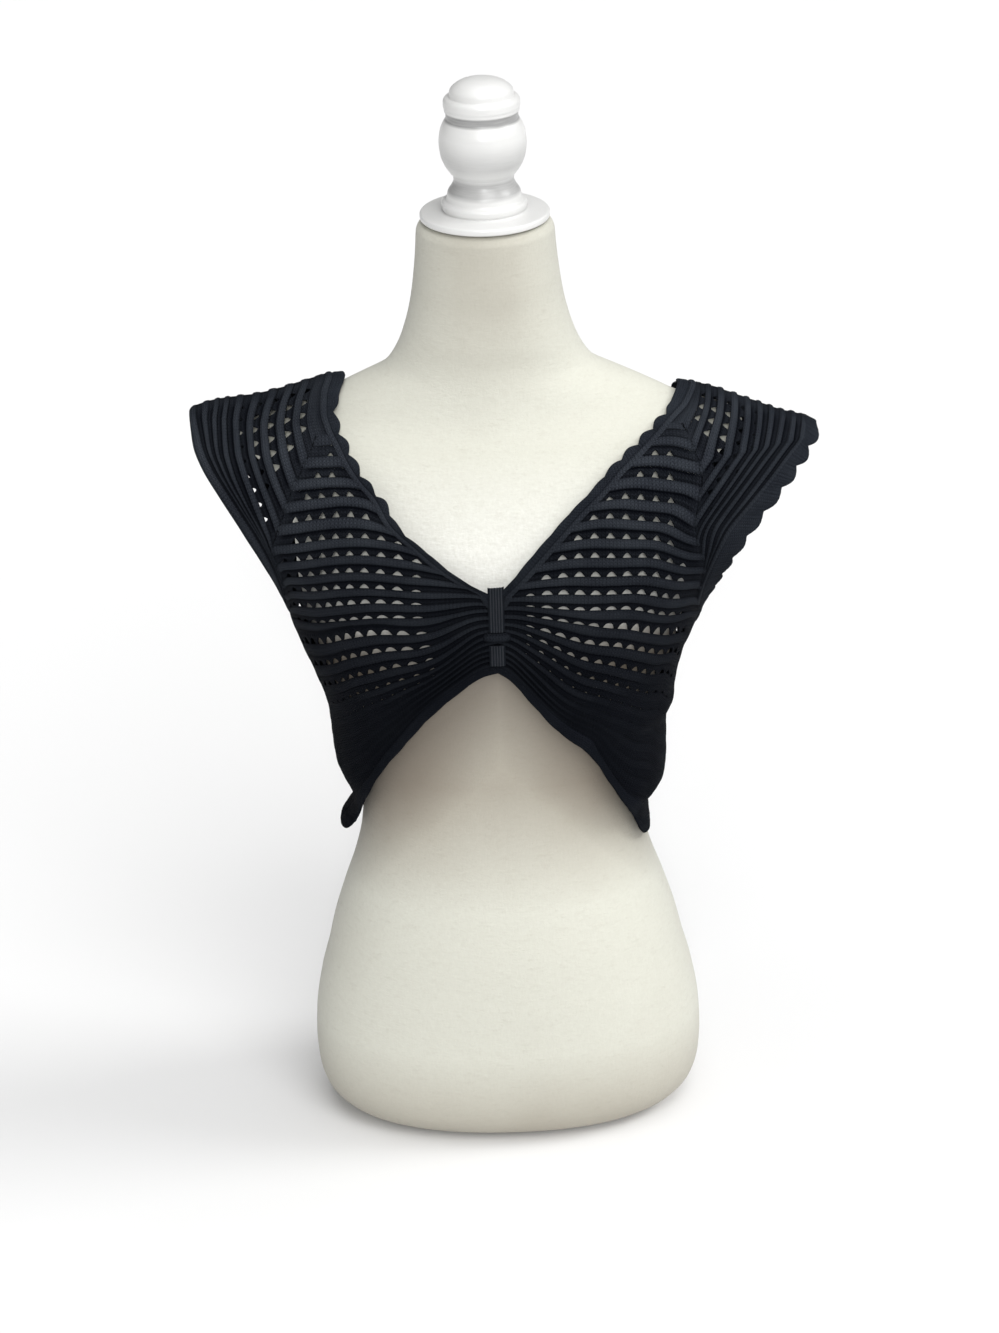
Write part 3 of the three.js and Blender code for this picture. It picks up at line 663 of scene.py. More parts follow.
# ---- knitted panels
panel = {
    "wall": 0.9,
    "neckTrimWidth": 10,
    "borderWidth": 6.5,  # plain raised band between the neck trim and the ribs
    "borderSection": [(0, -1.2), (0.04, 0.1), (0.2, 1.1), (0.45, 1.5), (0.7, 1.3), (0.93, 0.5), (1, -1.1)],
    "armTrimWidth": 15,
    "neckBand": {"front": 0.05, "back": 0.012},
    "neckPitch": {"front": 1 / 175, "back": 1 / 330},  # v for each millimetre below the foot of the neckline
    "armBand": 0.018,
    "tuck": 2.5,  # how far a panel runs on under its edging
    "hemShare": {"front": (0.04, 0.0105), "back": (0.0085, 0.0105)},  # v of the hem trim, middle and side
    "rib": {  # place across a rib in rib numbers from the eyelet row, and lift off the cloth in mm
        "front": [(-0.30, -1.0), (-0.24, -0.9), (None, -0.5), ("arch", -0.55), (0.16, -0.6), (0.19, -0.1),
                  (0.27, 0.55), (0.40, 0.95), (0.52, 0.9), (0.62, 0.5), (0.68, -0.3), (0.70, -1.0)],
        "back": [(-0.30, -1.0), (-0.23, -0.8), ("arch", -0.55), (0.16, -0.6), (0.22, 0.25), (0.40, 0.95),
                 (0.58, 0.7), (0.70, -1.0)],
    },
    "lastLines": [(1.0, 0.3), (1.5, -0.6)],  # carry the last rib on to the hem
    "archFoot": 0.16,
    "archStart": -0.24,
    "along": {  # places along one eyelet: numbers are shares of the pitch, texts are shares of the hole
        "front": [-0.5, -0.44, "-1", "-0.7", "-0.35", "0", "0.35", "0.7", "1", 0.44],
        "back": [-0.5, -0.42, "-1", "-0.45", "0.45", "1", 0.42],
    },
    "cells": {"front": 23, "back": 18, "column": 21},  # eyelets worked out along each line
    "restHole": 0.3,  # half hole used for the lines away from the eyelets
    "leastHole": 0.1,
    "rowHole": [  # rib number, half width in pitches, height in rib numbers, roundness of the arch
        (1, 0.26, 0.28, 1.3), (6, 0.28, 0.28, 1.4), (8, 0.32, 0.27, 1.8), (10, 0.37, 0.24, 2.2),
        (12, 0.38, 0.24, 2.4), (13, 0.31, 0.22, 2.2), (14, 0.2, 0.16, 2), (15, 0.1, 0.08, 2),
        (16, 0, 0, 2), (23, 0, 0, 2)],
    "columnHole": [  # rib number, half width, height
        (1, 0.26, 0.38), (3, 0.26, 0.36), (4, 0.24, 0.32), (5, 0.15, 0.2), (6, 0, 0), (23, 0, 0)],
    "columnRoundness": 2.0,
    "backHole": [(1, 0.27, 0.25), (16, 0.27, 0.25), (19, 0, 0), (23, 0, 0)],
    "firstFade": (1, 12),  # eyelets open this far from the neck border
    "sideFade": {"right": (4, 14), "left": (8, 28)},  # and close this far from the end of a turned row,
    "seamFade": (22, 55),  # of a row that runs to the side seam,
    "backFade": (10, 26),  # and of a row of the back
    "leastOpen": 0.35,  # eyelets smaller than this share of their size stay shut
    "closes": {"right": (38, 84), "left": (10, 44)},  # lower rows open this far from the middle,
    "firstClosing": 7,  # from this rib number on
    "rowEnd": 0.7,  # share of the hem trim that the rows run under
    "columnStart": 15,
    "columnEnds": (8, 18),  # no eyelets this near the shoulder or the corner
    "seamFlat": 0.85,  # share of the ribs' height lost towards the side seams
    "flatLift": -0.6,
    "flatRows": (0.6, 0.75),  # rows where that comes in
    "seamStart": [(0, 0.8), (12, 0.72), (14, 0.45), (16, 0.2), (23, 0.1)],  # rib number, u where it begins
    "backSeamStart": 0.8,
    "seamSpan": 0.25,
    "shoulderRise": (0.35, 3, 16),  # least share of the lift, and the distances over which it comes back
    "cornerRise": (0.45, 0, 9),
    "firstRise": 0.3,  # share of the lift at rib 0, and gained with each rib after it
    "backPitch": 14.6,
    "ribPattern": 15,  # pattern millimetres for each rib, across the yoke, and along and across the border
    "yokePattern": 12,
    "borderPattern": (230, 8),
    "yokeLine": 0.25,  # rib number of the line where the plain yoke ends
    "yokeLift": (-0.6, 0.4),
}
neckEnd = {face: cloth["neckRow"] + share for face, share in panel["neckBand"].items()}
holeAt = [smoothCurve(*zip(*[(row[0], row[i]) for row in panel["rowHole"]])) for i in (1, 2, 3)]


# smooth step: 3t^2 - 2t^3 between low and high
def softStep(x, low, high):
    t = np.clip((x - low) / (high - low), 0, 1)
    return t * t * (3 - 2 * t)


def innerEdge(face, side, v, extra=0.0):
    end = neckEnd[face] + extra * panel["neckPitch"][face]
    return edgingShare(face, side, v, end, panel["neckTrimWidth"] + extra)


def outerEdge(face, side, v):
    if side == "right":
        return np.ones_like(v)
    end = cloth["armRow"] + panel["armBand"]
    return 1 - edgingShare(face, side, v, end, panel["armTrimWidth"] - panel["tuck"])


def hemShare(face, u):
    return mix(*panel["hemShare"][face], u)


# distance run along the second axis of a grid of points
def runAlong(points):
    steps = np.linalg.norm(np.diff(points, axis=1), axis=-1)
    return np.concatenate([np.zeros((len(points), 1)), np.cumsum(steps, axis=1)], 1)


# first u past a border line, straight between the two entries on either side of it
def crossing(u, border):
    i = max(np.argmax(u >= border) - 1, 0)
    return np.interp(0, (u - border)[i:i + 2], u[i:i + 2])


# tables for one half. Along each rib line: u by distance s from the middle, and the s where its row starts
# and ends. Down each column: its share w by distance d from the shoulder. Columns run straight in u and v.
def ribTables(face, side):
    r = np.arange(0.1, ribs["count"][face] + 1.01, 0.1)
    u = fineU
    v = rowLine(face, side, r[:, None], u[None, :])
    points = clothPoint(face, side, u[None, :], v)
    run = runAlong(points) + np.abs(points[:, :1, 0])
    turned = r <= ribs["turnedEnd"]
    number = np.minimum(r, ribs["turnedEnd"])
    mitre = np.where(turned, mitreAt[side](number), 1)
    border = innerEdge(face, side, v, panel["borderWidth"] - panel["tuck"])
    inside = u <= outerEdge(face, side, v) + 1e-9
    last = np.minimum(u[len(u) - 1 - np.argmax(inside[:, ::-1], axis=1)], mitre)
    first = np.minimum(np.maximum([crossing(u, line) for line in border], 0), last)
    distance = np.arange(0, ribs["longest"], 1.0)
    w = np.linspace(0, 1, 81)
    top = np.where(turned, ribTop[side](number), 1)
    corner = np.array([np.interp(place, u, line) for place, line in zip(mitre, v)])
    drop = runAlong(clothPoint(face, side, mix(top[:, None], mitre[:, None], w), mix(0, corner[:, None], w)))
    return {
        "r": r,
        "uOfS": np.array([np.interp(distance, line, u) for line in run]),
        "sFirst": np.array([np.interp(place, u, line) for place, line in zip(first, run)]),
        "sLast": np.array([np.interp(place, u, line) for place, line in zip(last, run)]),
        "wOfD": np.array([np.interp(distance, line, w) for line in drop]),
        "length": drop[:, -1],
        "top": top,
        "mitre": mitre,
    }


def lineValue(table, name, r):
    return np.interp(r, table["r"], table[name])


# value of a table at rib number r and length x, straight between its entries
def tableAt(table, name, r, x):
    values = table[name]
    i = np.clip((r - table["r"][0]) / 0.1, 0, len(table["r"]) - 1.001)
    j = np.clip(x, 0, values.shape[1] - 1.001)
    i0, j0 = i.astype(int), j.astype(int)
    above = mix(values[i0, j0], values[i0, j0 + 1], j - j0)
    below = mix(values[i0 + 1, j0], values[i0 + 1, j0 + 1], j - j0)
    return mix(above, below, i - i0)


# u and v on row r at distance s from the middle; the row's end is set on the mitre or the seam itself
def rowPlace(face, side, table, r, s):
    first, last = lineValue(table, "sFirst", r), lineValue(table, "sLast", r)
    s = np.clip(s, first, last)
    u = tableAt(table, "uOfS", r, s)
    end = np.minimum(lineValue(table, "mitre", r), outerEdge(face, side, rowLine(face, side, r, u)))
    u = np.where((s >= last - 1e-9) & (last > first + 0.5), end, u)
    v = np.minimum(rowLine(face, side, r, u), 1 - panel["rowEnd"] * hemShare(face, u))
    return u, v


# u and v on column r at distance d from the shoulder
def columnPlace(face, side, table, r, d):
    length = lineValue(table, "length", r)
    w = np.where(d >= length, 1, tableAt(table, "wOfD", r, np.minimum(d, length)))
    mitre = lineValue(table, "mitre", r)
    u = mix(lineValue(table, "top", r), mitre, w)
    v = mix(0, np.minimum(rowLine(face, side, r, mitre), 1), w)
    low = innerEdge(face, side, v, panel["borderWidth"] - panel["tuck"])
    return np.clip(u, low, outerEdge(face, side, v)), v


# distance of eyelet m from the middle of a row, or from the shoulder down a column
def rowCentre(face, side, m):
    if face == "back":
        return panel["backPitch"] * m
    return np.sign(m) * waleAt[side](np.abs(m))


def columnCentre(face, side, m):
    return panel["columnStart"] + ribs["columnPitch"] * (m - 1)


# lift of a rib's lines: flattened towards the side seams, sinking at the shoulder and into the mitre corner
def settle(face, place, table, k, lift, length, r, u, v):
    start = np.interp(k, *zip(*panel["seamStart"])) if face == "front" else panel["backSeamStart"]
    flat = softStep(u, start, start + panel["seamSpan"]) * softStep(v, *panel["flatRows"])
    lift = mix(lift, panel["flatLift"], panel["seamFlat"] * flat)
    if place is columnPlace:
        least, low, high = panel["shoulderRise"]
        lift = lift * mix(least, 1, softStep(length, low, high))
    if k < ribs["lastTurned"]:
        least, low, high = panel["cornerRise"]
        corner = lineValue(table, "length" if place is columnPlace else "sLast", r)
        rise = min(panel["firstRise"] * (1 + k), 1)
        lift = lift * mix(least, 1, softStep(np.abs(corner - length), low, high)) * rise
    return lift


# one rib: lines across it by places along it. The eyelet is an arch over a straight edge:
# arch = foot - height * (1 - |place / half|^roundness), and the strip between arch and edge stays open
def ribPatch(face, side, place, table, k, centreOf, half, height, roundness):
    lines = list(panel["rib"][face])
    along = panel["along"][face]
    if k == ribs["count"][face]:
        lines += panel["lastLines"]
    if k == 0:
        lines = [line for line in lines if isinstance(line[0], float) and line[0] > 0.1]
    cells = np.arange(len(half))
    middle = centreOf(face, side, cells)
    low, high = centreOf(face, side, cells - 0.5), centreOf(face, side, cells + 0.5)
    share = np.zeros((len(lines), len(half), len(along)))
    offset = np.zeros_like(share)
    lift = np.zeros_like(share)
    arch = next((i for i, line in enumerate(lines) if line[0] == "arch"), None)
    for i, (across, rise) in enumerate(lines):
        near = arch is not None and arch - 1 <= i <= arch + 2
        hole = np.maximum(half, panel["leastHole"]) if near else np.full(len(half), panel["restHole"])
        for j, step in enumerate(along):
            share[i, :, j] = float(step) * hole if isinstance(step, str) else step
        bow = np.clip(np.abs(share[i]) / np.maximum(half, 1e-6)[:, None], 0, 1) ** roundness[:, None]
        archLine = panel["archFoot"] - height[:, None] * (1 - bow)
        if across == "arch":
            offset[i] = archLine
        elif across is None:
            offset[i] = mix(panel["archStart"], archLine, 0.5)
        else:
            offset[i] = across
        lift[i] = rise
    reach = np.where(share < 0, (middle - low)[:, None], (high - middle)[:, None])
    length = middle[:, None] + 2 * reach * share
    order = [*range(share[0].size), 0]  # each line is closed by its first place, moved to the last cell's end
    offset, length, lift = (grid.reshape(len(lines), -1)[:, order] for grid in (offset, length, lift))
    length[:, -1] = high[-1]
    r = k + offset
    u, v = place(face, side, table, r, length)
    lift = settle(face, place, table, k, lift, length, r, u, v)
    return clothPatch(face, side, u, v, lift, (length, r * panel["ribPattern"]), leftOpen=arch)


def rowRib(face, side, table, k):
    cells = panel["cells"][face]
    middle = rowCentre(face, side, np.arange(cells))
    first, last = lineValue(table, "sFirst", k), lineValue(table, "sLast", k)
    hole = [max(float(at(k)), 0) for at in holeAt]
    grown = 1
    fade = panel["seamFade"] if k > ribs["lastTurned"] else panel["sideFade"][side]
    if face == "back":
        numbers, halves, heights = zip(*panel["backHole"])
        hole[:2] = np.interp(k, numbers, halves), np.interp(k, numbers, heights)
        fade = panel["backFade"]
    elif k >= panel["firstClosing"]:
        grown = softStep(middle, *panel["closes"][side])
    near, far = panel["firstFade"]
    size = grown * softStep(middle, first + near, first + far) * softStep(last - middle, *fade)
    isOpen = (size > panel["leastOpen"]) & (k > 0)
    half = np.where(isOpen, hole[0] * (0.5 + 0.5 * size), 0)
    height = np.where(isOpen, hole[1] * size, 0)
    return ribPatch(face, side, rowPlace, table, k, rowCentre, half, height, np.full(cells, hole[2]))


def columnRib(face, side, table, k):
    cells = panel["cells"]["column"]
    middle = columnCentre(face, side, np.arange(cells))
    start, end = panel["columnEnds"]
    isOpen = (middle > start) & (middle < lineValue(table, "length", k) - end) & (k > 0)
    numbers, halves, heights = zip(*panel["columnHole"])
    half = np.where(isOpen, np.interp(k, numbers, halves), 0)
    height = np.where(isOpen, np.interp(k, numbers, heights), 0)
    roundness = np.full(cells, panel["columnRoundness"])
    return ribPatch(face, side, columnPlace, table, k, columnCentre, half, height, roundness)


# plain knit between the neck border and the first rib: u from the border to the first column line,
# v from the shoulder to the first row line
def yokePatch(face, side, table):
    fall = np.linspace(0, 1, 81)[:, None]
    across = np.linspace(0, 1, 9)[None, :]
    firstLine = panel["yokeLine"]
    length = lineValue(table, "length", firstLine)
    line, row = columnPlace(face, side, table, np.full(fall.shape, firstLine), fall * length)
    start = np.minimum(innerEdge(face, side, row, panel["borderWidth"] - panel["tuck"]), line)
    u = mix(start, line, across)
    v = np.minimum(fall * rowLine(face, side, firstLine, u), 1)
    pattern = (fall * length, across * panel["yokePattern"])
    return clothPatch(face, side, u, v, mix(*panel["yokeLift"], across), pattern)


# raised band that covers the rib ends beside the neck trim: the trim's inner edge and the same line further
# in, blended by the section's shares, each lifted by the section's lift
def neckBorder(face, side):
    s = np.linspace(0, 1, 161)[:, None]
    share, lift = np.array(panel["borderSection"]).T
    startRow = neckEnd[face]
    endRow = startRow + panel["borderWidth"] * panel["neckPitch"][face]
    v = mix(s * startRow, s * endRow, share)
    inner = innerEdge(face, side, s * startRow)
    outer = innerEdge(face, side, s * endRow, panel["borderWidth"])
    u = mix(inner, outer, share)
    length, width = panel["borderPattern"]
    return clothPatch(face, side, u, v, lift, (s * length, share * width))


def halfPanel(face, side):
    table = ribTables(face, side)
    patches = [rowRib(face, side, table, k) for k in range(0, ribs["count"][face] + 1)]
    patches += [columnRib(face, side, table, k) for k in range(0, ribs["lastTurned"] + 1)]
    return patches + [yokePatch(face, side, table), neckBorder(face, side)]


# ---- edgings
trim = {
    "wall": 0.8,
    "neckLobes": {"right": 12, "left": 12, "back": 20},
    "neckReach": {"right": 0.75, "left": 0.6},  # share of the neckline that is scalloped
    "neckFade": 0.25,
    "leastLobe": 0.12,
    "shoulderPlain": (0.09, 0.06),  # no lobes this near the shoulder, and the share over which they come in
    "endFade": (0.1, 0.05),  # share of a trim over which its lobes come in and go out
    "neckLobeDepth": 4.0,
    "backLobeDepth": 3.0,
    "armLobes": 22,
    "armLobeDepth": 5.0,
    "smoothing": 6,  # places on either side that an armhole's normals are averaged over
    "hemLobes": 9,
    "hemLobeDepth": 0.5,
    "rayCount": 6,  # short ridges across each lobe
    "rayDepth": 0.28,
    "steps": 36,  # places along each lobe
    "puff": 0.6,
    "hemRidge": 0.12,
    "hemRays": 9,
    "hemSteps": 260,
    "hemTaper": (0.7, 0.88, 0.99),  # share of the lift lost at the side, and the u between which it goes
    "section": [  # share of the width, lift
        (0.10, -0.9), (0.02, -0.7), (-0.02, -0.1), (0.0, 0.6), (0.06, 1.1), (0.16, 1.35), (0.32, 1.2),
        (0.5, 1.0), (0.68, 1.0), (0.84, 1.05), (0.95, 0.7), (1.06, -0.2), (1.16, -1.3)],
    "turnedSteps": 420,
    "turnedLength": 440,
    "turnedSection": [  # distance in from the edge, lift
        (6.5, -0.7), (5.6, 0.4), (4.2, 0.95), (2.4, 1.05), (0.9, 0.6), (0.0, -0.4), (-0.3, -1.6),
        (0.2, -2.8), (1.4, -3.5), (3.6, -3.7), (7, -3.7), (11, -3.6), (15, -3.5)],
}


def notch(s, lobes):
    return 1 - np.abs(np.sin(np.pi * lobes * s))


# band between an edge line and an inner line: point = edge + (inner - edge) * across, moved out by the
# section's lift, its edge drawn in by the notches of its lobes, with short ridges across each lobe
def bandPatch(edge, inner, normals, cut, phase, ridge, taper, wraps=False):
    along = np.gradient(edge, axis=0)
    if wraps:
        along = np.roll(edge, -1, axis=0) - np.roll(edge, 1, axis=0)
    along /= np.maximum(np.linalg.norm(along, axis=-1, keepdims=True), 1e-9)
    across = inner - edge
    across -= along * np.sum(across * along, -1, keepdims=True)
    across /= np.maximum(np.linalg.norm(across, axis=-1, keepdims=True), 1e-9)
    t, height = np.array(trim["section"]).T
    start = edge + across * cut[:, None]
    points = start[:, None] + (inner - start)[:, None] * t[None, :, None]
    puff = np.sin(np.pi * phase)[:, None] ** 2 * np.clip(1 - t, 0, 1) * np.clip(t + 0.3, 0, 1)
    rays = ridge[:, None] * np.clip(1.1 - t, 0, 1) * np.clip(t + 0.2, 0, 1) * 2
    lift = (height + trim["puff"] * puff + rays) * taper[:, None]
    points = points + normals[:, None] * lift[..., None]
    run = np.concatenate([[0], np.cumsum(np.linalg.norm(np.diff(edge, axis=0), axis=-1))])
    width = np.linalg.norm(inner - edge, axis=-1)
    if wraps:
        points, normals, lift = (np.concatenate([grid, grid[:1]]) for grid in (points, normals, lift))
        run = np.append(run, run[-1])
    return makePatch(points, normals[:, None], (run[:, None], t * np.median(width)), lift)


def neckTrimPatch(face, side):
    lobes = trim["neckLobes"]["back"] / 2 if face == "back" else trim["neckLobes"][side]
    s = np.linspace(0, 1, int(lobes * trim["steps"]) + 1)
    end = neckEnd[face]
    edge = clothPoint(face, side, 0, s * cloth["neckRow"])
    share = edgingShare(face, side, s * end, end, panel["neckTrimWidth"])
    inner = clothPoint(face, side, share, s * end)
    normals = clothNormal(face, side, 0.5 * share, s * 0.5 * (end + cloth["neckRow"]))
    if face == "back":
        depth = trim["backLobeDepth"] * np.clip(s / trim["endFade"][0], 0, 1)
    else:
        plain, fade = trim["shoulderPlain"]
        ending = np.clip((trim["neckReach"][side] - s) / trim["neckFade"], trim["leastLobe"], 1)
        ending = ending * np.clip((1 - s) / trim["endFade"][1], 0, 1)
        depth = trim["neckLobeDepth"] * ending * np.clip((s - plain) / fade, 0, 1)
    phase = (s * lobes) % 1
    ridge = trim["rayDepth"] * np.cos(2 * np.pi * trim["rayCount"] * phase) * np.clip(depth, 0.6, 2) / 2
    return bandPatch(edge, inner, normals, depth * notch(s, lobes), phase, ridge, np.ones(len(s)))


# ring round an armhole: down the front edge, past the underarm and up the back edge
def armRing(side, steps):
    around = np.arange(steps) / steps
    s = 1 - np.abs(2 * around - 1)
    front = (around < 0.5)[:, None]
    end = cloth["armRow"] + panel["armBand"]

    def lines(face):
        share = edgingShare(face, side, s * end, end, panel["armTrimWidth"])
        edge = clothPoint(face, side, 1, s * cloth["armRow"])
        inner = clothPoint(face, side, 1 - share, s * end)
        edge[:, 1] -= frontSign[face] * cloth["halfSeam"]
        inner[:, 1] -= frontSign[face] * cloth["halfSeam"]
        return edge, inner, clothNormal(face, side, 1 - 0.4 * share, s * 0.5 * (end + cloth["armRow"]))

    picked = [np.where(front, a, b) for a, b in zip(lines("front"), lines("back"))]
    reach = trim["smoothing"]
    smooth = sum(np.roll(picked[2], k, axis=0) for k in range(-reach, reach + 1))
    picked[2] = smooth / np.linalg.norm(smooth, axis=-1, keepdims=True)
    return around, picked


def armTrimPatch(side):
    if side == "left":
        around, (edge, inner, normals) = armRing(side, trim["armLobes"] * trim["steps"])
        phase = (around * trim["armLobes"]) % 1
        ridge = trim["rayDepth"] * np.cos(2 * np.pi * trim["rayCount"] * phase)
        cut = trim["armLobeDepth"] * notch(around, trim["armLobes"])
        return bandPatch(edge, inner, normals, cut, phase, ridge, np.ones(len(around)), wraps=True)
    around, (edge, inner, normals) = armRing(side, trim["turnedSteps"])
    width = np.linalg.norm(inner - edge, axis=-1)
    inward, lift = np.array(trim["turnedSection"]).T
    across = (inner - edge) / np.maximum(width, 1e-6)[:, None]
    reach = inward * np.minimum(width / panel["armTrimWidth"], 1)[:, None]
    lift = np.broadcast_to(lift, reach.shape)
    points = edge[:, None] + across[:, None] * reach[..., None] + normals[:, None] * lift[..., None]
    facing = np.sign(0.5 - np.linspace(0, 1, len(inward)))
    full = normals[:, None] * facing[:, None]
    points, lift, full, around = (np.concatenate([grid, grid[:1]]) for grid in (points, lift, full, around))
    stripe = 2.0 * np.arange(1, len(inward) + 1)
    return makePatch(points, full, (around[:, None] * trim["turnedLength"], stripe), lift)


def hemPatch(face, side):
    u = np.linspace(0, 1, trim["hemSteps"])
    share = hemShare(face, u)
    edge = clothPoint(face, side, u, 1)
    inner = clothPoint(face, side, u, 1 - share)
    normals = clothNormal(face, side, u, 1 - 0.5 * share)
    lobes = trim["hemLobes"]
    start, end = trim["endFade"]
    depth = trim["hemLobeDepth"] * np.clip(u / start, 0, 1) * np.clip((1 - u) / end, 0, 1)
    ridge = trim["hemRidge"] * np.cos(2 * np.pi * trim["hemRays"] * ((u * lobes) % 1))
    lost, low, high = trim["hemTaper"]
    taper = 1 - lost * softStep(u, low, high)
    return bandPatch(edge, inner, normals, depth * notch(u, lobes), np.zeros(len(u)), ridge, taper)


# ---- centre tab
tab = {
    "width": 13,
    "stretches": {"upper": (526.5, 486.5), "lower": (474.5, 455), "rib": (486, 477.5)},
    "ribWidth": 22,
    "ribSwell": 0.9,
    "lift": 1.9,
    "wales": 6,
    "waleDepth": 0.35,
    "slant": 0.05,  # rise across the top of the upper stretch
    "bow": 90,
    "edgeDrop": (1.3, 1.0),  # how far the sides and the ends fall back
    "roundness": (14, 40),
    "ribRoundness": (4, 6),
    # the relief also sets the yarn colour, so the tab's sides take painted shade
    "reliefDrop": 1.2,
    "steps": (81, 73),
    "wall": 1.0,
}


# strip over the gathers: y = -(front depth + lift) + x^2 / bow, its four edges rounded back.
# A stretch has wales as cosines across it, and the crossing rib one swell sin(pi a)^2 down it
def tabPatch(top, bottom, isRib=False, slant=0.0):
    a = np.linspace(0, 1, tab["steps"][0])[:, None]
    b = np.linspace(0, 1, tab["steps"][1])[None, :]
    x = (b - 0.5) * tab["ribWidth" if isRib else "width"]
    z = mix(top, bottom, a) + slant * x * (1 - a)
    wale = 0 if isRib else tab["waleDepth"] * np.cos(2 * np.pi * tab["wales"] * b)
    cross = tab["ribSwell"] * np.sin(np.pi * a) ** 2 if isRib else 0
    sidePower, endPower = tab["ribRoundness" if isRib else "roundness"]
    side = np.abs(2 * b - 1) ** sidePower
    out = tab["lift"] + wale + cross - tab["edgeDrop"][0] * side
    out = out - tab["edgeDrop"][1] * np.abs(2 * a - 1) ** endPower
    y = -depthAt["front"](z) - out + x ** 2 / tab["bow"]
    points = np.stack(np.broadcast_arrays(x, y, z), -1)
    return makePatch(points, np.array([0.0, -1.0, 0.0]), (z, x), wale + cross - tab["reliefDrop"] * side)


# ---- dress form
form = {
    "around": 192,
    "step": 4.0,
    "foot": 14,  # rings lie closer below this height
    "rim": 780,  # and above this one
    "closing": (0.0, 0.35, 0.7),  # sizes of the rings that close it
    "girth": 150,  # pattern millimetres for each radian round it
    "middle": 400.0,
    "sections": [  # height, half width, front depth, back depth, plan power
        (0, 118, 66, 68, 2.2), (4, 134, 80, 82, 2.2), (12, 147, 91, 93, 2.2), (26, 158, 99, 101, 2.2),
        (44, 163, 103, 105, 2.2), (66, 164.5, 105, 107, 2.2), (90, 163.5, 106, 109, 2.2),
        (126, 157.5, 106, 111, 2.2), (150, 151, 105, 111, 2.2), (175, 145, 103, 110, 2.2),
        (205, 135.5, 98, 106, 2.2), (235, 125, 91, 99, 2.2), (262, 118.5, 86, 91, 2.2),
        (290, 115.5, 83, 86, 2.2), (312, 114, 82, 82, 2.2), (345, 120, 86, 80, 2.2),
        (385, 130, 93, 80, 2.2), (430, 145, 103, 83, 2.5), (470, 155, 110, 86, 2.75),
        (505, 161, 114, 90, 2.85), (540, 163, 110, 91, 2.6), (570, 168, 101, 88, 2.3),
        (592, 184, 91, 79, 2.1), (606, 197, 83, 71, 1.95), (616, 203, 76, 64, 1.85),
        (625, 197, 69, 58, 1.78), (633, 178, 63, 54, 1.72), (641, 153, 59, 53, 1.7),
        (650, 135, 56, 53, 1.7), (659, 116, 54, 53, 1.72), (665, 102, 53, 54, 1.76),
        (672, 86, 52, 55, 1.82), (684, 76, 51, 56, 1.95), (699, 69, 52, 56, 2.05), (724, 62, 52, 55, 2.1),
        (746, 58.5, 53, 54, 2.1), (770, 56, 53, 53, 2.05), (784, 55, 53, 53, 2), (789, 53, 51, 51, 2),
        (792, 48, 46, 46, 2), (793, 42, 40, 40, 2)],
}


# level rings of the form: x = half * sign(cos) |cos|^(2/p), y = depth * sign(sin) |sin|^(2/p),
# closed below and above by rings that shrink to a point
def formPatch():
    rows = np.array(form["sections"], float)
    half, front, back, power = (smoothCurve(rows[:, 0], rows[:, i]) for i in range(1, 5))
    top, low, high = rows[-1, 0], form["foot"], form["rim"]
    heights = np.unique(np.concatenate([np.arange(0, top, form["step"]), np.arange(0, low, 1.0),
                                        np.arange(high, top + 0.1, 0.5), [top]]))
    angle = np.linspace(0, 2 * np.pi, form["around"] + 1)
    c, s = np.cos(angle)[None, :], np.sin(angle)[None, :]
    z = np.broadcast_to(heights[:, None], (len(heights), len(angle)))
    bend = 2 / power(z)
    depth = np.where(s < 0, front(z), back(z))
    x = half(z) * np.sign(c) * np.abs(c) ** bend
    y = depth * np.sign(s) * np.abs(s) ** bend
    rings = np.stack([x, y, z], -1)
    rings[:, -1] = rings[:, 0]
    shrink = np.array(form["closing"])[:, None, None]
    low = rings[:1] * (shrink * (1, 1, 0) + (0, 0, 1))
    high = rings[-1:] * (shrink[::-1] * (1, 1, 0) + (0, 0, 1))
    points = np.concatenate([low, rings, high])
    pattern = (angle[None, :] * form["girth"], points[..., 2])
    return makePatch(points, points - (0, 0, form["middle"]), pattern, 0.0)


# ---- turned neck cap
cap = {
    "around": 120,
    "steps": 241,
    "girth": 30,
    "middle": 850.0,
    "profile": [  # radius, height
        (0, 793.3), (49.5, 793.3), (51.6, 794.8), (51.6, 797.6), (50.2, 799), (35, 799.8), (33, 801.2),
        (34.2, 803), (34.2, 806), (33, 808), (30.6, 808.8), (29.8, 810), (29, 815), (25.4, 821),
        (23.9, 825), (24.4, 829), (26.2, 831), (30.8, 838), (33.7, 846), (34.7, 855), (33.8, 864),
        (31.4, 871), (29.6, 874), (28.6, 876), (28.6, 880), (29.8, 881.5), (29.8, 883.5), (30.4, 885),
        (30.4, 889), (28.6, 892), (25.6, 893), (25.2, 897), (21.5, 901.5), (14, 905.3), (6, 906.8),
        (0, 907)],
}


# profile turned about the upright axis: x = radius * cos, y = radius * sin
def capPatch():
    radiusAt = smoothPath(cap["profile"])
    radius, height = radiusAt(np.linspace(0, 1, cap["steps"]))
    angle = np.linspace(0, 2 * np.pi, cap["around"] + 1)
    x, y = radius[:, None] * np.cos(angle), radius[:, None] * np.sin(angle)
    points = np.stack(np.broadcast_arrays(x, y, height[:, None]), -1).copy()
    points[:, -1] = points[:, 0]
    pattern = (angle * cap["girth"], height[:, None])
    return makePatch(points, points - (0, 0, cap["middle"]), pattern, 0.0)


# ---- the pieces
makePiece("dressForm", [formPatch()], "cover")
makePiece("neckCap", [capPatch()], "painted_wood")


def addCloth(name, patches, slot, wall):
    makePiece(name, patches, slot, wall)


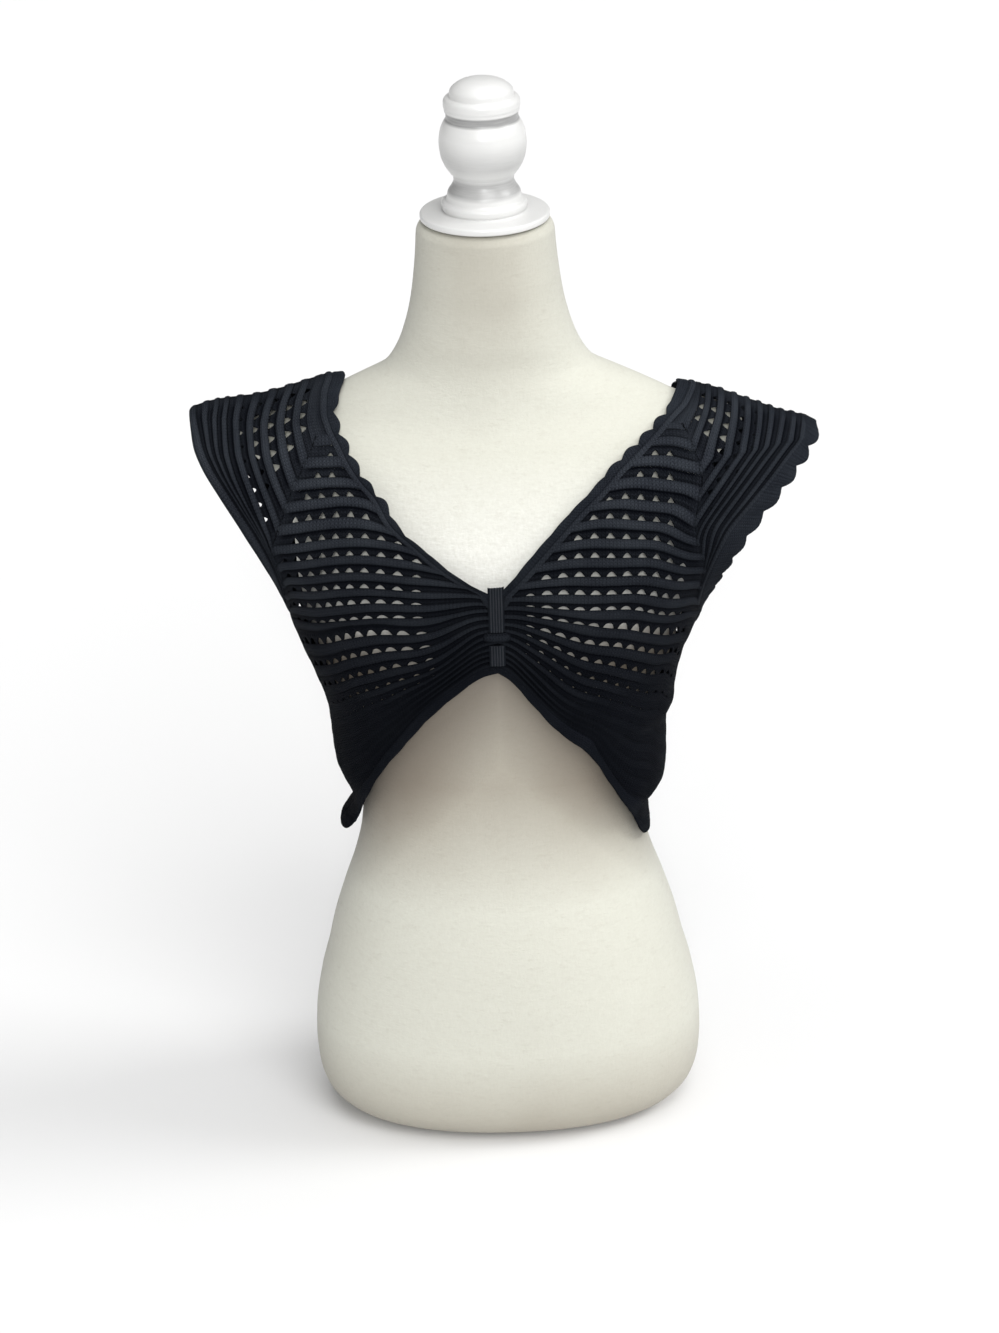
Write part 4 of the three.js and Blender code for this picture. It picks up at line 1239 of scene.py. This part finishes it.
addCloth("frontRight", halfPanel("front", "right"), "knit", panel["wall"])
addCloth("frontLeft", halfPanel("front", "left"), "knit", panel["wall"])
addCloth("backPanel", halfPanel("back", "right") + halfPanel("back", "left"), "knit", panel["wall"])
addCloth("neckTrimRight", [neckTrimPatch("front", "right")], "edging", trim["wall"])
addCloth("neckTrimLeft", [neckTrimPatch("front", "left")], "edging", trim["wall"])
addCloth("neckTrimBack", [neckTrimPatch("back", side) for side in sideSign], "edging", trim["wall"])
for side in sideSign:
    addCloth("armholeTrim" + side.capitalize(), [armTrimPatch(side)], "edging", trim["wall"])
    addCloth("hemTrim" + side.capitalize(), [hemPatch("front", side)], "edging", trim["wall"])
addCloth("hemTrimBack", [hemPatch("back", side) for side in sideSign], "edging", trim["wall"])
addCloth("tabUpper", [tabPatch(*tab["stretches"]["upper"], slant=tab["slant"])], "tab_knit", tab["wall"])
addCloth("tabLower", [tabPatch(*tab["stretches"]["lower"])], "tab_knit", tab["wall"])
addCloth("tabRib", [tabPatch(*tab["stretches"]["rib"], isRib=True)], "knit", tab["wall"])
# ---- floor and light, in metres
studio = {
    "floor": 14.0,
    "floorTones": ((0.81, 0.81, 0.81), (0.82, 0.82, 0.82)),
    "key": {"from": (0.25, -0.8, 0.8), "spread": 40, "strength": 1.45},
    "front": {"from": (0.0, -0.91, 0.43), "spread": 7, "strength": 1.0},
    "side": {"from": (1.0, 0.0, 0.8), "spread": 22, "strength": 1.05},
    "over": {"from": (0.15, -0.1, 1.0), "spread": 60, "strength": 1.35},
    "sky": 0.18,
}


def addFloor():
    half = studio["floor"]
    corners = [(-half, -half, 0), (half, -half, 0), (half, half, 0), (-half, half, 0)]
    mesh = bpy.data.meshes.new("floor")
    mesh.from_pydata(corners, [], [(0, 1, 2, 3)])
    look = Look("floor", **{"Specular IOR Level": 0.1})
    cloud = look.noise(1.2, 3.0)
    base = look.blend(cloud, *studio["floorTones"])
    look.set(look.shader, {"Base Color": base, "Roughness": cloud * 0.1 + 0.75})
    mesh.materials.append(look.material)
    floor = bpy.data.objects.new("floor", mesh)
    scene.collection.objects.link(floor)


def addLight(name):
    data = bpy.data.lights.new(name, "SUN")
    data.angle = math.radians(studio[name]["spread"])
    data.energy = studio[name]["strength"]
    lamp = bpy.data.objects.new(name, data)
    scene.collection.objects.link(lamp)
    lamp.rotation_euler = Vector(studio[name]["from"]).to_track_quat("Z", "Y").to_euler()


def addSky():
    world = bpy.data.worlds.new("studio")
    scene.world = world
    world.use_nodes = True
    sky = world.node_tree.nodes["Background"]
    sky.inputs["Color"].default_value = (1, 1, 1, 1)
    sky.inputs["Strength"].default_value = studio["sky"]


addFloor()
for lightName in ("key", "front", "side", "over"):
    addLight(lightName)
addSky()
scene.view_settings.view_transform = "Standard"
print("floor and lights placed")
